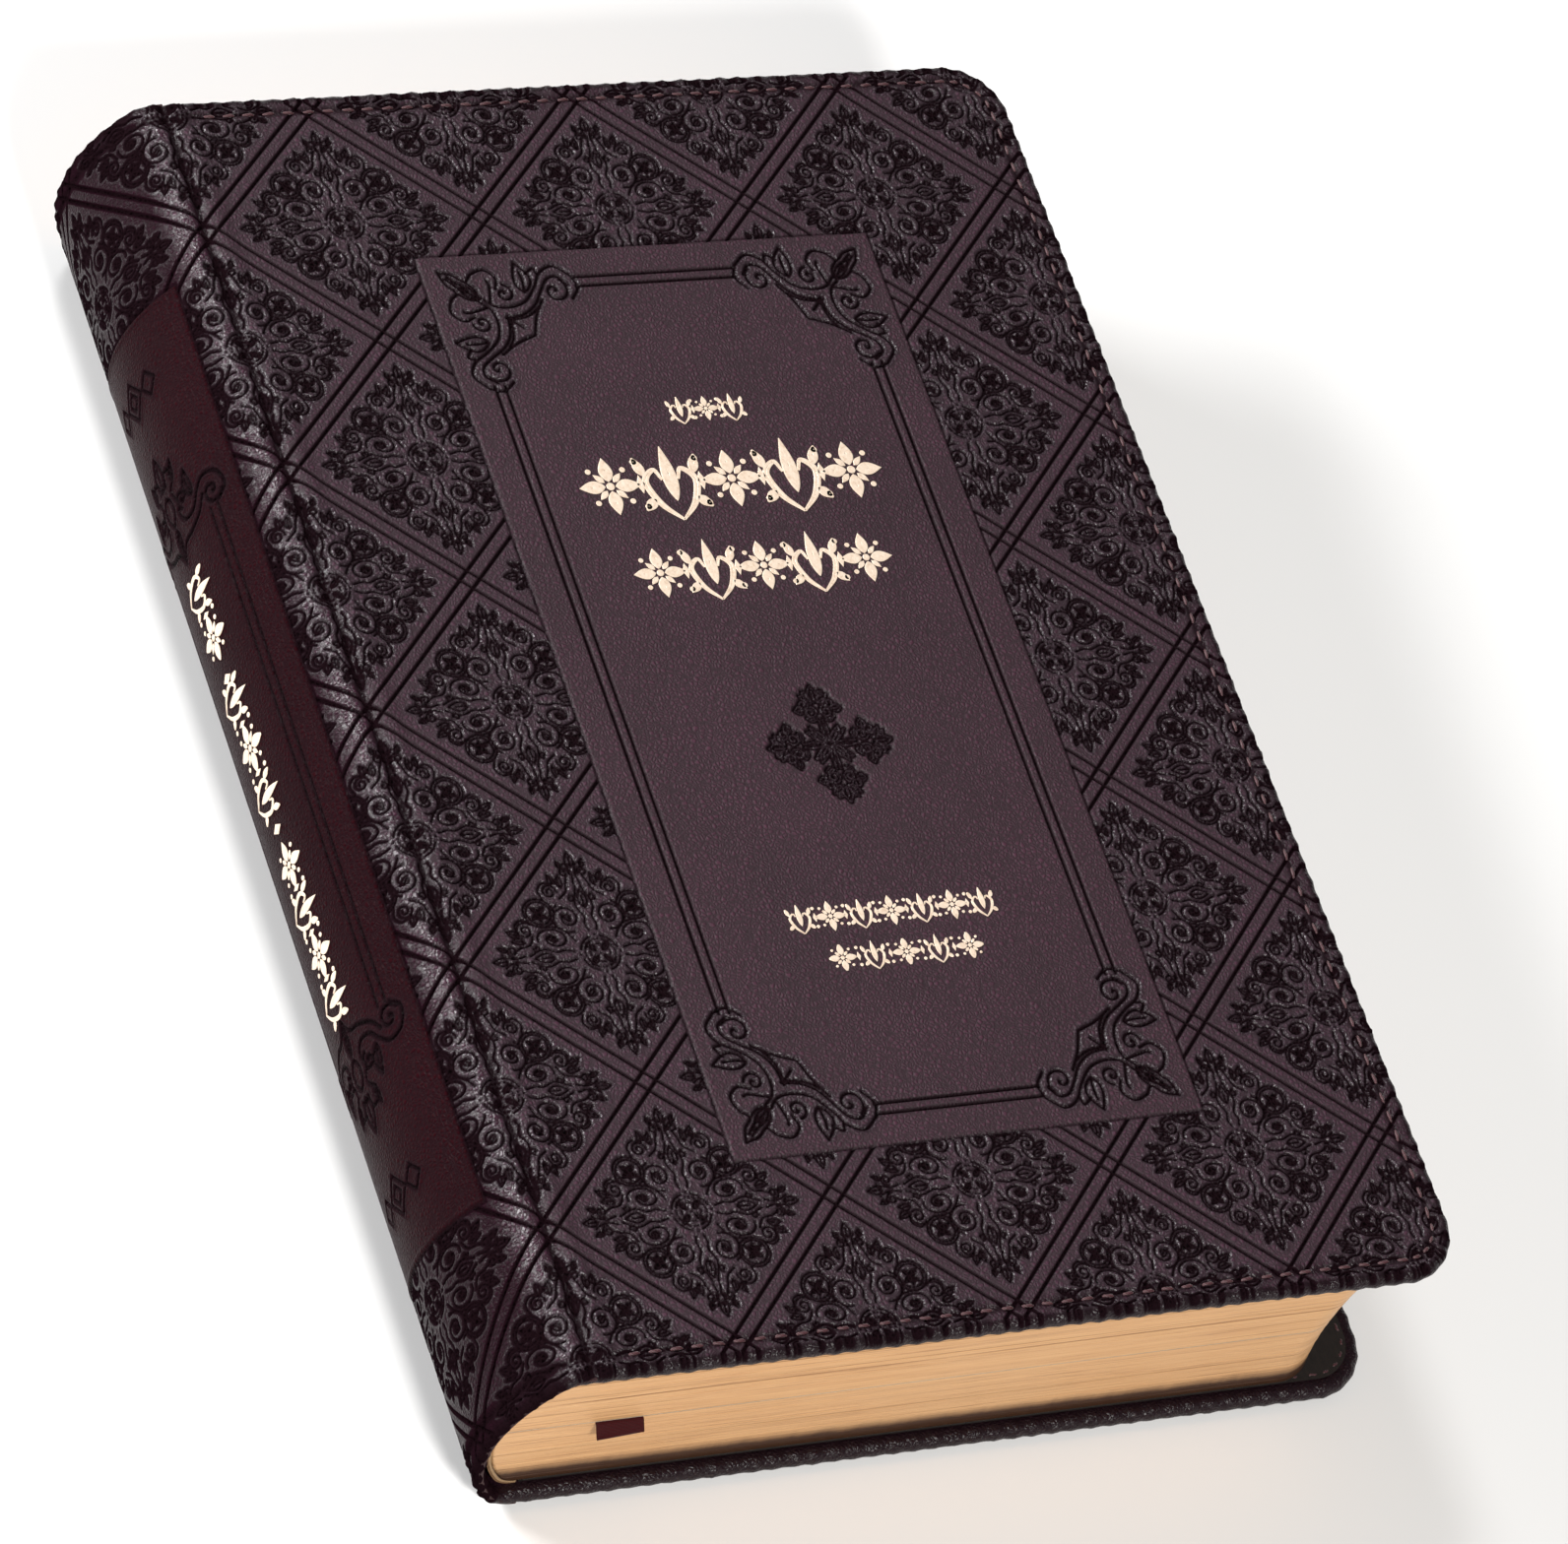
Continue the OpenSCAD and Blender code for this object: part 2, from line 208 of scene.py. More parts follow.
def diamond_art():
    """A quarter of the ornament that fills each diamond of the lattice."""
    art = Relief(-1, -1, 21, 20.5)
    art.draw([
        # centre: fans, pearls and the four almond drops
        spiral(0, 0, 3.3, 3.3, 16, 58 / 360), spiral(0, 0, 2.6, 2.6, 22, 46 / 360),
        leaf(0.5, 0.5, 2.0, 2.0, 0.9),
        dot(0, 0), dot(1.7, 0.25), dot(0.25, 1.7), dot(2.6, 0.3), dot(0.3, 2.6), dot(3.5, 0), dot(0, 3.5),
        leaf(0, 8.6, 0, 12.0, 1.5), leaf(8.0, 0, 11.5, 0, 1.7),
        curve((0.7, 4.4), (1.0, 5.6), (0.7, 7.0), (1.5, 9.2), (0.5, 12.6)),
        curve((4.3, 0.7), (6.0, 1.1), (7.4, 0.9), (9.6, 1.6), (12.2, 0.6)),
        # scroll beside the upright axis, with a leaf at its heart
        spiral(3.7, 6.9, 0.7, 2.7, 60, -1.45), leaf(3.2, 6.3, 4.6, 7.6, 1.1, 0.3),
        curve((4.9, 9.4), (6.3, 8.2), (6.3, 6.2), (5.0, 4.6)),
        # flat scroll beside the level axis
        spiral(7.2, 3.3, 0.6, 2.9, 160, -1.5, 0.72, 10), leaf(6.5, 3.1, 8.2, 3.7, 0.9, -0.2),
        curve((3.6, 2.7), (4.4, 4.0), (5.6, 5.2), (7.6, 5.7)),
        # ringed rosette
        ring(8.3, 8.3, 2.65), ring(8.3, 8.3, 2.1),
        leaf(8.3, 8.5, 9.5, 9.3, 0.8), leaf(8.3, 8.5, 7.1, 9.3, 0.8), leaf(8.3, 8.2, 8.3, 6.7, 0.8),
        leaf(8.5, 8.0, 9.7, 7.2, 0.7), leaf(8.1, 8.0, 6.9, 7.2, 0.7),
        # outer scrolls and pointed leaves, level arm
        spiral(11.7, 5.3, 0.3, 1.5, 250, 1.6), curve((10.4, 6.3), (11.8, 7.3), (13.2, 6.4), (13.0, 4.8)),
        leaf(13.0, 4.6, 15.0, 5.5, 1.2, -0.2), leaf(12.2, 3.2, 14.6, 3.4, 1.2, 0.2),
        curve((10.6, 4.2), (11.6, 2.6), (13.4, 2.2), (14.6, 1.6)),
        spiral(15.0, 1.7, 0.25, 1.0, 40, -1.4), leaf(15.8, 1.9, 17.4, 2.5, 0.9), leaf(16.2, 0, 18.9, 0, 1.4),
        curve((13.0, 0.7), (14.6, 0.3), (16.0, 0.6), (17.0, 1.2)), spiral(10.6, 1.9, 0.2, 0.7, 0, 1.0),
        # outer scrolls and pointed leaves, upright arm
        spiral(5.3, 12.0, 0.3, 1.35, 330, 1.6), curve((6.8, 10.9), (7.2, 12.4), (6.2, 13.6), (4.8, 13.5)),
        leaf(4.4, 13.2, 4.7, 15.2, 1.1, 0.2), leaf(3.0, 12.6, 2.8, 14.9, 1.1, -0.2),
        curve((3.9, 10.6), (2.4, 11.8), (1.9, 13.4), (1.4, 14.6)),
        spiral(1.6, 15.3, 0.25, 0.95, 60, 1.4), leaf(1.8, 16.2, 2.3, 17.6, 0.9), leaf(0, 16.3, 0, 19.0, 1.4),
        curve((0.6, 13.2), (0.3, 14.8), (0.6, 16.2), (1.1, 17.0)), spiral(2.0, 10.4, 0.2, 0.7, 90, -1.0),
    ], 0.20)
    return art


def swapped(lines):
    """The same lines mirrored across the diagonal."""
    return [swapped(line) if isinstance(line, list) else line[:, ::-1] for line in lines]


def corner_art():
    """The scrolls in a corner of the panel's frame, from that corner inwards."""
    art = Relief(0, 0, 34, 34)
    arm = [
        curve((3.2, 3.2), (5.6, 3.9), (7.4, 5.3), (8.8, 3.9), (11.2, 3.2), (12.9, 4.9), (12.3, 7.0)),
        spiral(13.5, 8.0, 0.35, 1.75, -30, -1.15), dot(13.5, 8.0),
        curve((7.4, 5.3), (8.7, 6.9), (9.0, 8.6)), curve((4.6, 4.2), (6.4, 5.8), (7.6, 7.4)),
        curve((9.3, 8.6), (11.0, 10.3), (13.8, 10.7), (16.8, 9.7), (19.3, 6.9), (21.0, 4.3), (23.6, 3.2),
              (26.2, 5.2)),
        curve((12.4, 12.8), (15.8, 12.2), (18.4, 10.4), (20.3, 7.6), (21.9, 5.6), (23.8, 5.3), (25.2, 7.0)),
        spiral(22.6, 8.0, 0.4, 2.5, -20, -1.1), dot(22.6, 8.0), curve((26.2, 5.2), (26.8, 7.6), (25.2, 9.8)),
        leaf(17.2, 8.0, 17.0, 2.1, 2.9, 0.4), curve((18.4, 4.4), (20.0, 3.4), (20.4, 4.6)),
        curve((10.6, 9.6), (11.4, 6.4), (11.2, 5.4)),
        curve((19.8, 9.6), (17.8, 12.8), (16.4, 16.4)), curve((18.6, 11.2), (16.4, 12.6), (13.2, 13.2)),
        curve((12.4, 12.8), (13.6, 13.6), (14.9, 14.9)),
    ]
    art.draw(arm, 0.25)
    art.draw(swapped(arm), 0.25)
    art.draw([leaf(8.8, 8.8, 5.2, 5.2, 1.6)], 0.25)
    return art


def flourish_art():
    """Half of the bracket-shaped flourish at each end of the spine's label."""
    art = Relief(-1, -6, 18, 18)
    art.draw([
        spiral(11.6, 1.8, 0.4, 2.2, -60, 1.1), dot(11.6, 1.8),
        curve((12.6, -0.4), (14.4, 1.4), (13.4, 4.4), (10.6, 5.2), (8.4, 3.6), (6.6, 1.6), (4.0, 1.4),
              (2.6, 3.2), (3.2, 5.2)),
        curve((9.4, 2.4), (7.6, 0.2), (4.6, -1.2), (1.8, -1.8), (0, -4.4)),
        spiral(4.4, 5.0, 0.35, 1.6, 180, 1.2), dot(4.4, 5.0),
        leaf(7.2, 4.0, 6.8, 8.8, 2.0, 0.5), curve((3.2, 5.2), (2.2, 7.6), (3.6, 9.4), (2.8, 11.8)),
        leaf(3.6, 9.0, 4.4, 12.4, 1.3, 0.3), leaf(0, 9.2, 0, 15.2, 2.8),
        curve((0, 7.8), (1.2, 6.6), (1.4, 4.4), (0, 2.4)), leaf(0, 1.8, 0, -3.2, 1.6),
        curve((2.8, 11.8), (1.6, 11.4), (1.2, 9.4)),
    ], 0.27)
    return art


def cross_art():
    """A quarter of the ornamental cross: a trefoil of curled leaves at the end of each arm."""
    art = Relief(-1, -1, 13, 13, reach=2.5)
    arm = [leaf(0.3, 0.3, 3.3, 2.5, 1.3, 0.2), curve((0.6, 0), (2.6, 0.5), (4.6, 0.3)),
           spiral(6.1, 1.4, 0.3, 1.1, 200, 1.4), spiral(7.6, 2.3, 0.3, 1.0, 230, 1.3),
           leaf(6.6, 2.6, 6.6, 4.1, 1.3), leaf(7.8, 0.5, 9.2, 2.4, 1.1), leaf(8.0, 0, 10.9, 0, 1.6),
           leaf(4.6, 0.9, 5.0, 2.4, 0.9), leaf(9.0, 0.9, 9.9, 1.7, 0.8)]
    art.draw(arm, 0.26)
    art.draw(swapped(arm), 0.26)
    return art


DIAMOND = diamond_art()
CORNER = corner_art()
FLOURISH = flourish_art()
CROSS = cross_art()


def carve(wall, depth, slope=0.26, puff=0.10):
    """Height, groove and tinted area of the relief at a distance from the nearest groove's wall. The groove
    is painted near black, partly the stamp's darker pressed leather and partly painted shade; the area is
    painted greyer, partly the stamp's tone and partly painted sheen.
    """
    cut = smooth(0.72 - wall / slope)
    area = smooth(1.5 - wall / 0.5)
    dome = puff * (1 - np.exp(-np.maximum(wall, 0) / 0.35))
    return dome * area - depth * smooth(0.5 - wall / slope), cut, area


def lattice(u, v):
    """The relief of the diamonds at u across from the crease and v along."""
    a, b = u / PITCH_X, v / PITCH_Y
    lean = 1 / math.hypot(1 / PITCH_X, 1 / PITCH_Y)
    wall = np.full(np.shape(u), 9.0)
    for p in (a + b, a - b):
        off = np.abs(p - np.round(p)) * lean
        wall = np.minimum(wall, np.abs(off - LINE_GAP) - LINE_W)
    line_h, _, _ = carve(wall - 0.05, 0.46, 0.26, 0.0)
    # the lattice lines' groove mask, painted near black: partly the stamp's darker tone, partly painted
    # shade
    line_cut = smooth(1.15 - wall / 0.26)
    # the nearest diamond's centre is at a half step one way and a whole step the other
    k = np.round(a + b - 0.5) + 0.5
    m = np.round(a - b - 0.5) + 0.5
    du, dv = (a - (k + m) / 2) * PITCH_X, (b - (k - m) / 2) * PITCH_Y
    art_h, art_cut, area = carve(DIAMOND.at(1.04 * np.abs(du), 1.04 * np.abs(dv)), 0.34)
    return line_h + art_h, np.maximum(line_cut, art_cut), area


def frame_lines(du, dv, half_u, half_v, from_corner):
    """Wall distance of the two lines between the corner scrolls of the panel."""
    wall = np.full(np.shape(du), 9.0)
    for inset in (-0.9, 0.9):
        hu, hv = half_u + inset, half_v + inset
        side = np.where(np.abs(dv) < half_v - from_corner, np.abs(np.abs(du) - hu), 9.0)
        head = np.where(np.abs(du) < half_u - from_corner, np.abs(np.abs(dv) - hv), 9.0)
        wall = np.minimum(wall, np.minimum(side, head))
    return wall - 0.26


def laid_over(base, inside, parts):
    """The lattice outside a label, and the label's own parts inside it."""
    height, cut, area = (v * (1 - inside) for v in base)
    for h, c, a in parts:
        height = height + h * inside
        cut = np.maximum(cut, c * inside)
        area = np.maximum(area, a * inside)
    return height, cut, area


def front_relief(x, y):
    """The relief of the front cover's leather, and its redness."""
    cx, half_x, half_y = PANEL
    dx, dy = x - cx, y
    edge = np.maximum(np.abs(dx) - half_x, np.abs(dy) - half_y)
    inside = smooth(-edge / 0.25)
    ix, iy = half_x - np.abs(dx), half_y - np.abs(dy)
    lines = carve(frame_lines(dx, dy, half_x - 7.1, half_y - 6.5, 19.2), 0.40, 0.3, 0.0)
    corner = carve(np.where((ix < 34) & (iy < 34), CORNER.at(ix, iy), 9.0), 0.38, 0.3, 0.12)
    px, py = np.abs(dx - 0.6), np.abs(dy + 12.5)
    cross = np.where((px < 13) & (py < 13), CROSS.at(px, py), 9.0)
    # a sunk figure with raised veins
    sunk, vein = smooth(1.2 - cross / 0.4), smooth(-0.6 - cross / 0.16)
    emblem = (-0.45 * sunk + 0.36 * vein, sunk * (1 - 0.95 * vein), sunk)
    height, cut, area = laid_over(lattice(x - CREASE_X, y), inside,
                                  [(lines[0], lines[1], 0 * inside), corner, emblem])
    # the panel's edge groove joins the groove mask, so it is painted near black too, partly as painted shade
    rim = np.exp(-((edge / 0.24) ** 2))
    height += 0.06 * inside - 0.26 * rim
    return height, np.maximum(cut, 0.85 * rim), area, 0.12 * inside


def back_relief(x, y):
    return (*lattice(x - CREASE_X, y), np.zeros(np.shape(x)))


def spine_relief(s, y):
    """The relief of the spine's leather at arc length s from the front crease, and its redness."""
    du = np.abs(s - SPINE_L / 2)
    dy = np.abs(y)
    edge = np.maximum(du - (SPINE_L / 2 - LABEL_S), dy - PANEL[2])
    inside = smooth(-edge / 0.25)
    line_wall = np.where(dy < 46.3, np.abs(np.abs(du - 11.0) - 0.9) - 0.2, 9.0)
    lines = carve(line_wall, 0.36, 0.3, 0.0)
    flourish = np.where(dy > 40, FLOURISH.at(du, dy - 47.0), 9.0)
    mark = np.where(np.abs(dy - 73.5) < 6, mark_wall(du, np.abs(dy - 73.5)), 9.0)
    art = carve(np.minimum(flourish, mark), 0.50, 0.34, 0.16)
    height, cut, area = laid_over(lattice(-s * PITCH_X / SPINE_L, y), inside,
                                  [(lines[0], lines[1], 0 * inside), (art[0], art[1], 0.5 * art[2])])
    # the label's edge groove joins the groove mask, so it is painted near black too, partly as painted shade
    rim = np.exp(-((edge / 0.24) ** 2))
    height += 0.05 * inside - 0.2 * rim + 0.12 * np.exp(-(((edge + 0.7) / 0.35) ** 2))
    return height, np.maximum(cut, 0.7 * rim), area, inside


def mark_wall(x, y):
    """A small row of lozenges, in place of the label's small letters."""
    near = np.full(np.shape(x), 9.0)
    for centre, size in ((0.0, 3.4), (0.0, 1.6), (5.6, 2.2)):
        near = np.minimum(near, np.abs(np.abs(x - centre) * 1.1 + y - size) * 0.7)
    return near - 0.22


# ---------------------------------------------------------------- the leather's own shape
def crease_shape(s, y):
    """The pressed crease: s runs from the crease outwards, either way."""
    place = s - 0.2 - 0.2 * wander(y, 5.0, 11)
    deep = 1.0 + 0.2 * wander(y, 2.3, 12)
    groove = -1.15 * deep * np.exp(-((place / 0.75) ** 2))
    pucker = 0.10 * wander(y + 2.5 * wander(y, 9.0, 14), 1.5, 13) * np.exp(-((s / 2.6) ** 2))
    puff = 0.34 * np.exp(-(((np.abs(s) - 2.6) / 1.6) ** 2))
    # the second value marks the crease, where the leather's colour gets painted shade
    return groove + pucker + puff, np.exp(-((place / 0.85) ** 2))


def seam_shape(path, inset):
    """The stitched seam along an edge: path runs along it, inset runs in from it."""
    beat = path / STITCH_PITCH
    hole = np.abs(beat - np.round(beat)) * 2
    lively = 1 + 0.45 * wander(path, 3.0, 21)
    groove = -0.42 * np.exp(-(((inset - STITCH_INSET) / 0.62) ** 2)) * (0.65 + 0.6 * (1 - hole) ** 2)
    rim = 0.30 * lively * hole**1.2 * np.exp(-(((inset - 0.9) / 1.1) ** 2))
    inner = 0.14 * lively * hole * np.exp(-(((inset - 4.6) / 1.0) ** 2))
    # the seam's groove and the strip by the edge get a mask that the leather paints as shade
    shade_mask = 0.9 * np.exp(-(((inset - STITCH_INSET) / 0.9) ** 2)) + smooth((2.2 - inset) / 1.6)
    return groove + rim + inner, np.clip(shade_mask, 0, 1)


ARC_X = FORE_X - CORNER_R
ARC_Y = HALF_H - CORNER_R
PATH_HEAD = ARC_X - CREASE_X
PATH_ARC = CORNER_R * math.pi / 2
PATH_HALF = PATH_HEAD + PATH_ARC + ARC_Y
STITCH_PITCH = 2 * PATH_HALF / round(2 * PATH_HALF / STITCH_PITCH)


def edge_place(x, y):
    """Where a point of a cover lies: along its edge from the crease at the head, and in from it."""
    ay = np.abs(y)
    in_head, in_fore = HALF_H - ay, FORE_X - x
    cx, cy = x - ARC_X, ay - ARC_Y
    corner = (cx > 0) & (cy > 0)
    angle = np.arctan2(np.maximum(cy, 1e-9), np.maximum(cx, 1e-9))
    inset = np.where(corner, CORNER_R - np.hypot(cx, cy), np.minimum(in_head, in_fore))
    head_p = x - CREASE_X
    fore_p = PATH_HEAD + PATH_ARC + ARC_Y - ay
    corner_p = PATH_HEAD + CORNER_R * (math.pi / 2 - angle)
    path = np.where(corner, corner_p, np.where(in_head < in_fore, head_p, fore_p))
    return np.where(y < 0, 2 * PATH_HALF - path, path), inset


def spine_section(s, out=0.0):
    """Point and outward direction of the spine at arc length s from the front crease."""
    s = np.asarray(s, float)
    top, low = s < SHOULDER_L, s > SPINE_L - SHOULDER_L
    angle = np.where(top, math.pi / 2 - s / SHOULDER_R, ARC_ANGLE - (s - SHOULDER_L) / SPINE_R)
    angle = np.where(low, -math.pi / 2 + (SPINE_L - s) / SHOULDER_R, angle)
    radius = np.where(top | low, SHOULDER_R, SPINE_R) + out
    cx = np.where(top | low, CREASE_X, SPINE_CX)
    cz = np.where(top, MID_Z + SHOULDER_H, np.where(low, MID_Z - SHOULDER_H, MID_Z))
    nx, nz = -np.cos(angle), np.sin(angle)
    return cx + radius * nx, cz + radius * nz, nx, nz


COVER_EDGE_R = COVER_T / 2
SPINE_EDGE_R = 1.0


def edge_radius(s):
    """Radius of the rolled leather edge; s is the distance past the crease onto the spine."""
    return COVER_EDGE_R + (SPINE_EDGE_R - COVER_EDGE_R) * smooth(np.asarray(s) / 6.0)


def make_mesh(name, verts, faces, material, values=None, smooth_faces=True):
    """A mesh object in metres from points in mm, with any float values per vertex."""
    mesh = bpy.data.meshes.new(name)
    faces = [np.asarray(f) for f in faces] if isinstance(faces, list) else faces
    verts = np.asarray(verts, float) * MM
    if isinstance(faces, np.ndarray):
        mesh.vertices.add(len(verts))
        mesh.vertices.foreach_set("co", verts.ravel())
        mesh.loops.add(faces.size)
        mesh.loops.foreach_set("vertex_index", faces.ravel().astype(np.int32))
        mesh.polygons.add(len(faces))
        size = faces.shape[1]
        mesh.polygons.foreach_set("loop_start", np.arange(0, faces.size, size, dtype=np.int32))
        mesh.update(calc_edges=True)
        mesh.validate()
    else:
        mesh.from_pydata(verts.tolist(), [], [f.tolist() for f in faces])
        mesh.update()
    for key, value in (values or {}).items():
        attribute = mesh.attributes.new(key, "FLOAT", "POINT")
        attribute.data.foreach_set("value", np.asarray(value, np.float32))
    mesh.polygons.foreach_set("use_smooth", [smooth_faces] * len(mesh.polygons))
    mesh.materials.append(material)
    piece = bpy.data.objects.new(name, mesh)
    bpy.context.scene.collection.objects.link(piece)
    return piece


def grid_faces(rows, cols, flip=False, offset=0):
    i, j = np.meshgrid(np.arange(rows - 1), np.arange(cols - 1), indexing="ij")
    a = (i * cols + j).ravel() + offset
    quad = np.c_[a, a + 1, a + cols + 1, a + cols]
    return quad[:, ::-1] if flip else quad


def row_places(step):
    """Rows from tail to head: even along the straight, and by angle round the corners."""
    r = CORNER_R - COVER_EDGE_R
    straight = HALF_H - CORNER_R
    n = int(straight / step)
    m = int(r * math.pi / 2 / step)
    middle = np.linspace(-straight, straight, 2 * n + 1)
    angle = np.linspace(0, math.pi / 2, m + 1)[1:]
    y = np.r_[-(straight + r * np.sin(angle))[::-1], middle, straight + r * np.sin(angle)]
    pull = np.r_[(r - r * np.cos(angle))[::-1], np.zeros(2 * n + 1), r - r * np.cos(angle)]
    return y, pull


def leather_shape(s, y, x, relief):
    """Rest place, outward direction, raised height and colour values of the cover's leather.

    s is the arc length past the crease onto the spine, or minus the distance onto the cover."""
    on_spine = s > 0
    sx, sz, nx, nz = spine_section(np.where(on_spine, s, 0))
    place = np.stack([np.where(on_spine, sx, x), y, np.where(on_spine, sz, TOP_Z)], -1)
    out = np.stack([np.where(on_spine, nx, 0), 0 * y, np.where(on_spine, nz, 1)], -1)
    near = np.where(on_spine, np.minimum(s, SPINE_L - s), s)
    path, inset = edge_place(np.where(on_spine, CREASE_X, x), y)
    path = np.where(on_spine, np.where(y > 0, -near, 2 * PATH_HALF + near), path)
    height, cut, stamp_sheen, red = (np.where(on_spine, b, a)
                             for a, b in zip(relief(x, y), spine_relief(s, y)))
    seam_h, seam_d = seam_shape(path, inset)
    crease_h, crease_d = crease_shape(near, y)
    quiet = 1 - 0.6 * seam_d
    height = height * quiet * (1 - 0.5 * crease_d) + seam_h + crease_h
    # the board's edge is slightly cushioned under the leather
    height -= 0.22 * np.exp(-np.maximum(inset - COVER_EDGE_R, 0) / 1.2)
    height = np.maximum(height, -DEEPEST)
    # the spine mask darkens the spine's leather as painted shade, and also dulls its shine
    spine = smooth((s - 3.0) / 5.0)
    shade_mask = np.maximum(seam_d, crease_d)
    return place, out, height, {"cut": cut, "stamp_sheen": stamp_sheen, "shade_mask": shade_mask, "red": red, "spine": spine}


TURN_IN = 13.0


def rolled_edge(place, out, side, height, radius, values, path, corner=None):
    """The leather's edge: it rolls round from the outer face and turns in under it."""
    rings, outs, insets = [], [], []
    for a in np.radians(np.linspace(0, 180, 13)):
        rings.append(place + radius[:, None] * (side * math.sin(a) - out * (1 - math.cos(a))))
        outs.append(side * math.sin(a) + out * math.cos(a))
        insets.append(radius * (1 - math.sin(a)))
    for w in (0.8, 1.6, 2.4, 3.4, 5.0, 8.0, 11.0, TURN_IN):
        inner = place - side * w if corner is None else corner(place, side, w)
        rings.append(inner - 2 * radius[:, None] * out)
        outs.append(-out)
        insets.append(radius + w)
    first = height.copy()
    points = []
    for k, (ring_p, ring_o, inset) in enumerate(zip(rings, outs, insets)):
        seam_h, _ = seam_shape(path, inset)
        keep = smooth(1 - k / 6) if k < 12 else 0
        at_start, _ = seam_shape(path, insets[0])
        lift = keep * (first - at_start) + seam_h
        lift = lift if k < 20 else lift * 0
        points.append(ring_p + ring_o * lift[:, None])
    n = len(rings)
    # the roll and the turn-in are marked for painted shade, most strongly on the roll
    extra = {"cut": np.concatenate([values["cut"] * smooth(1 - k / 8) for k in range(n)]),
             "stamp_sheen": np.concatenate([values["stamp_sheen"] * smooth(1 - k / 8) for k in range(n)]),
             "shade_mask": np.concatenate([np.full(len(place), 0.9 if 0 < k < 14 else 0.5) for k in range(n)]),
             "red": np.zeros(n * len(place)), "spine": np.tile(values["spine"], n)}
    extra["shade_mask"][: len(place)] = values["shade_mask"]
    return np.concatenate(points), extra, n


def cover_leather(name, relief, step, material, mirror=False):
    """A cover's leather with the shoulder beyond its crease, one sheet rolled over the edges."""
    y_rows, pull = row_places(step)
    s_cols = np.linspace(LABEL_S, 0, int(LABEL_S / step) + 1)[:-1]
    t_cols = np.linspace(0, 1, int((FORE_X - CREASE_X) / step) + 1)
    n_s, n_t, rows = len(s_cols), len(t_cols), len(y_rows)
    far = FORE_X - COVER_EDGE_R - pull
    x = np.hstack([np.full((rows, n_s), CREASE_X), CREASE_X + t_cols * (far[:, None] - CREASE_X)])
    s = np.hstack([np.tile(s_cols, (rows, 1)), CREASE_X - x[:, n_s:]])
    radius = edge_radius(np.r_[s_cols, np.zeros(n_t)])
    y = y_rows[:, None] * ((HALF_H - radius) / (HALF_H - COVER_EDGE_R))[None]
    place, out, height, values = leather_shape(s, y, x, relief)
    verts = (place + out * height[..., None]).reshape(-1, 3)
    cols = n_s + n_t
    faces = grid_faces(rows, cols)
    # the open edge, from the shoulder at the head round the fore-edge to the tail
    index = np.arange(rows * cols).reshape(rows, cols)
    border = np.r_[index[-1, :], index[-2:0:-1, -1], index[0, ::-1]]
    r = CORNER_R - COVER_EDGE_R
    turn = np.arcsin(np.clip((np.abs(y_rows) - (HALF_H - CORNER_R)) / r, 0, 1))
    side_fore = np.stack([np.cos(turn), np.sin(turn) * np.sign(y_rows), 0 * turn], -1)
    side = np.zeros((rows, cols, 3))
    side[-1, :, 1], side[0, :, 1] = 1, -1
    side[1:-1, -1] = side_fore[1:-1]
    pick = lambda a: a.reshape(rows * cols, *a.shape[2:])[border]
    path, _ = edge_place(x, y)
    near = np.maximum(s, 0)
    path = np.where(s > 0, np.where(y > 0, -near, 2 * PATH_HALF + near), path)

    def corner(p, d, w):
        inner_r = max(r - w, 0.3)
        cx, cy = FORE_X - COVER_EDGE_R - w - inner_r, HALF_H - COVER_EDGE_R - w - inner_r
        moved = p - d * w
        turned = (d[:, 0] > 1e-6) & (np.abs(d[:, 1]) > 1e-6)
        sign = np.sign(p[:, 1])
        moved[turned, 0] = (cx + inner_r * d[:, 0])[turned]
        moved[turned, 1] = (sign * cy + inner_r * d[:, 1])[turned]
        moved[:, 0] = np.minimum(moved[:, 0], FORE_X - COVER_EDGE_R - w)
        moved[~turned & (d[:, 0] < 0.5), 0] = np.minimum(moved[~turned & (d[:, 0] < 0.5), 0], cx)
        return moved

    wide = np.broadcast_to(radius, (rows, cols)).reshape(-1)[border]
    ring_v, ring_values, n = rolled_edge(pick(place), pick(out), pick(side), pick(height), wide,
                                         {k: pick(v) for k, v in values.items()}, pick(path), corner)
    m = len(border)
    start = len(verts)
    ring_index = np.arange(n * m).reshape(n, m) + start
    ring_index[0] = border
    a, b = ring_index[:-1, :-1].ravel(), ring_index[:-1, 1:].ravel()
    c, d = ring_index[1:, 1:].ravel(), ring_index[1:, :-1].ravel()
    verts = np.vstack([verts, ring_v])
    faces = np.vstack([faces, np.c_[a, b, c, d]])
    used = np.ones(len(verts), bool)
    used[start : start + m] = False
    remap = np.cumsum(used) - 1
    verts, faces = verts[used], remap[faces]
    if mirror:
        verts[:, 2] = TOP_Z - verts[:, 2]
        faces = faces[:, ::-1]
    values = {k: np.concatenate([values[k].ravel(), ring_values[k]])[used] for k in values}
    return make_mesh(name, verts, faces, material, values)


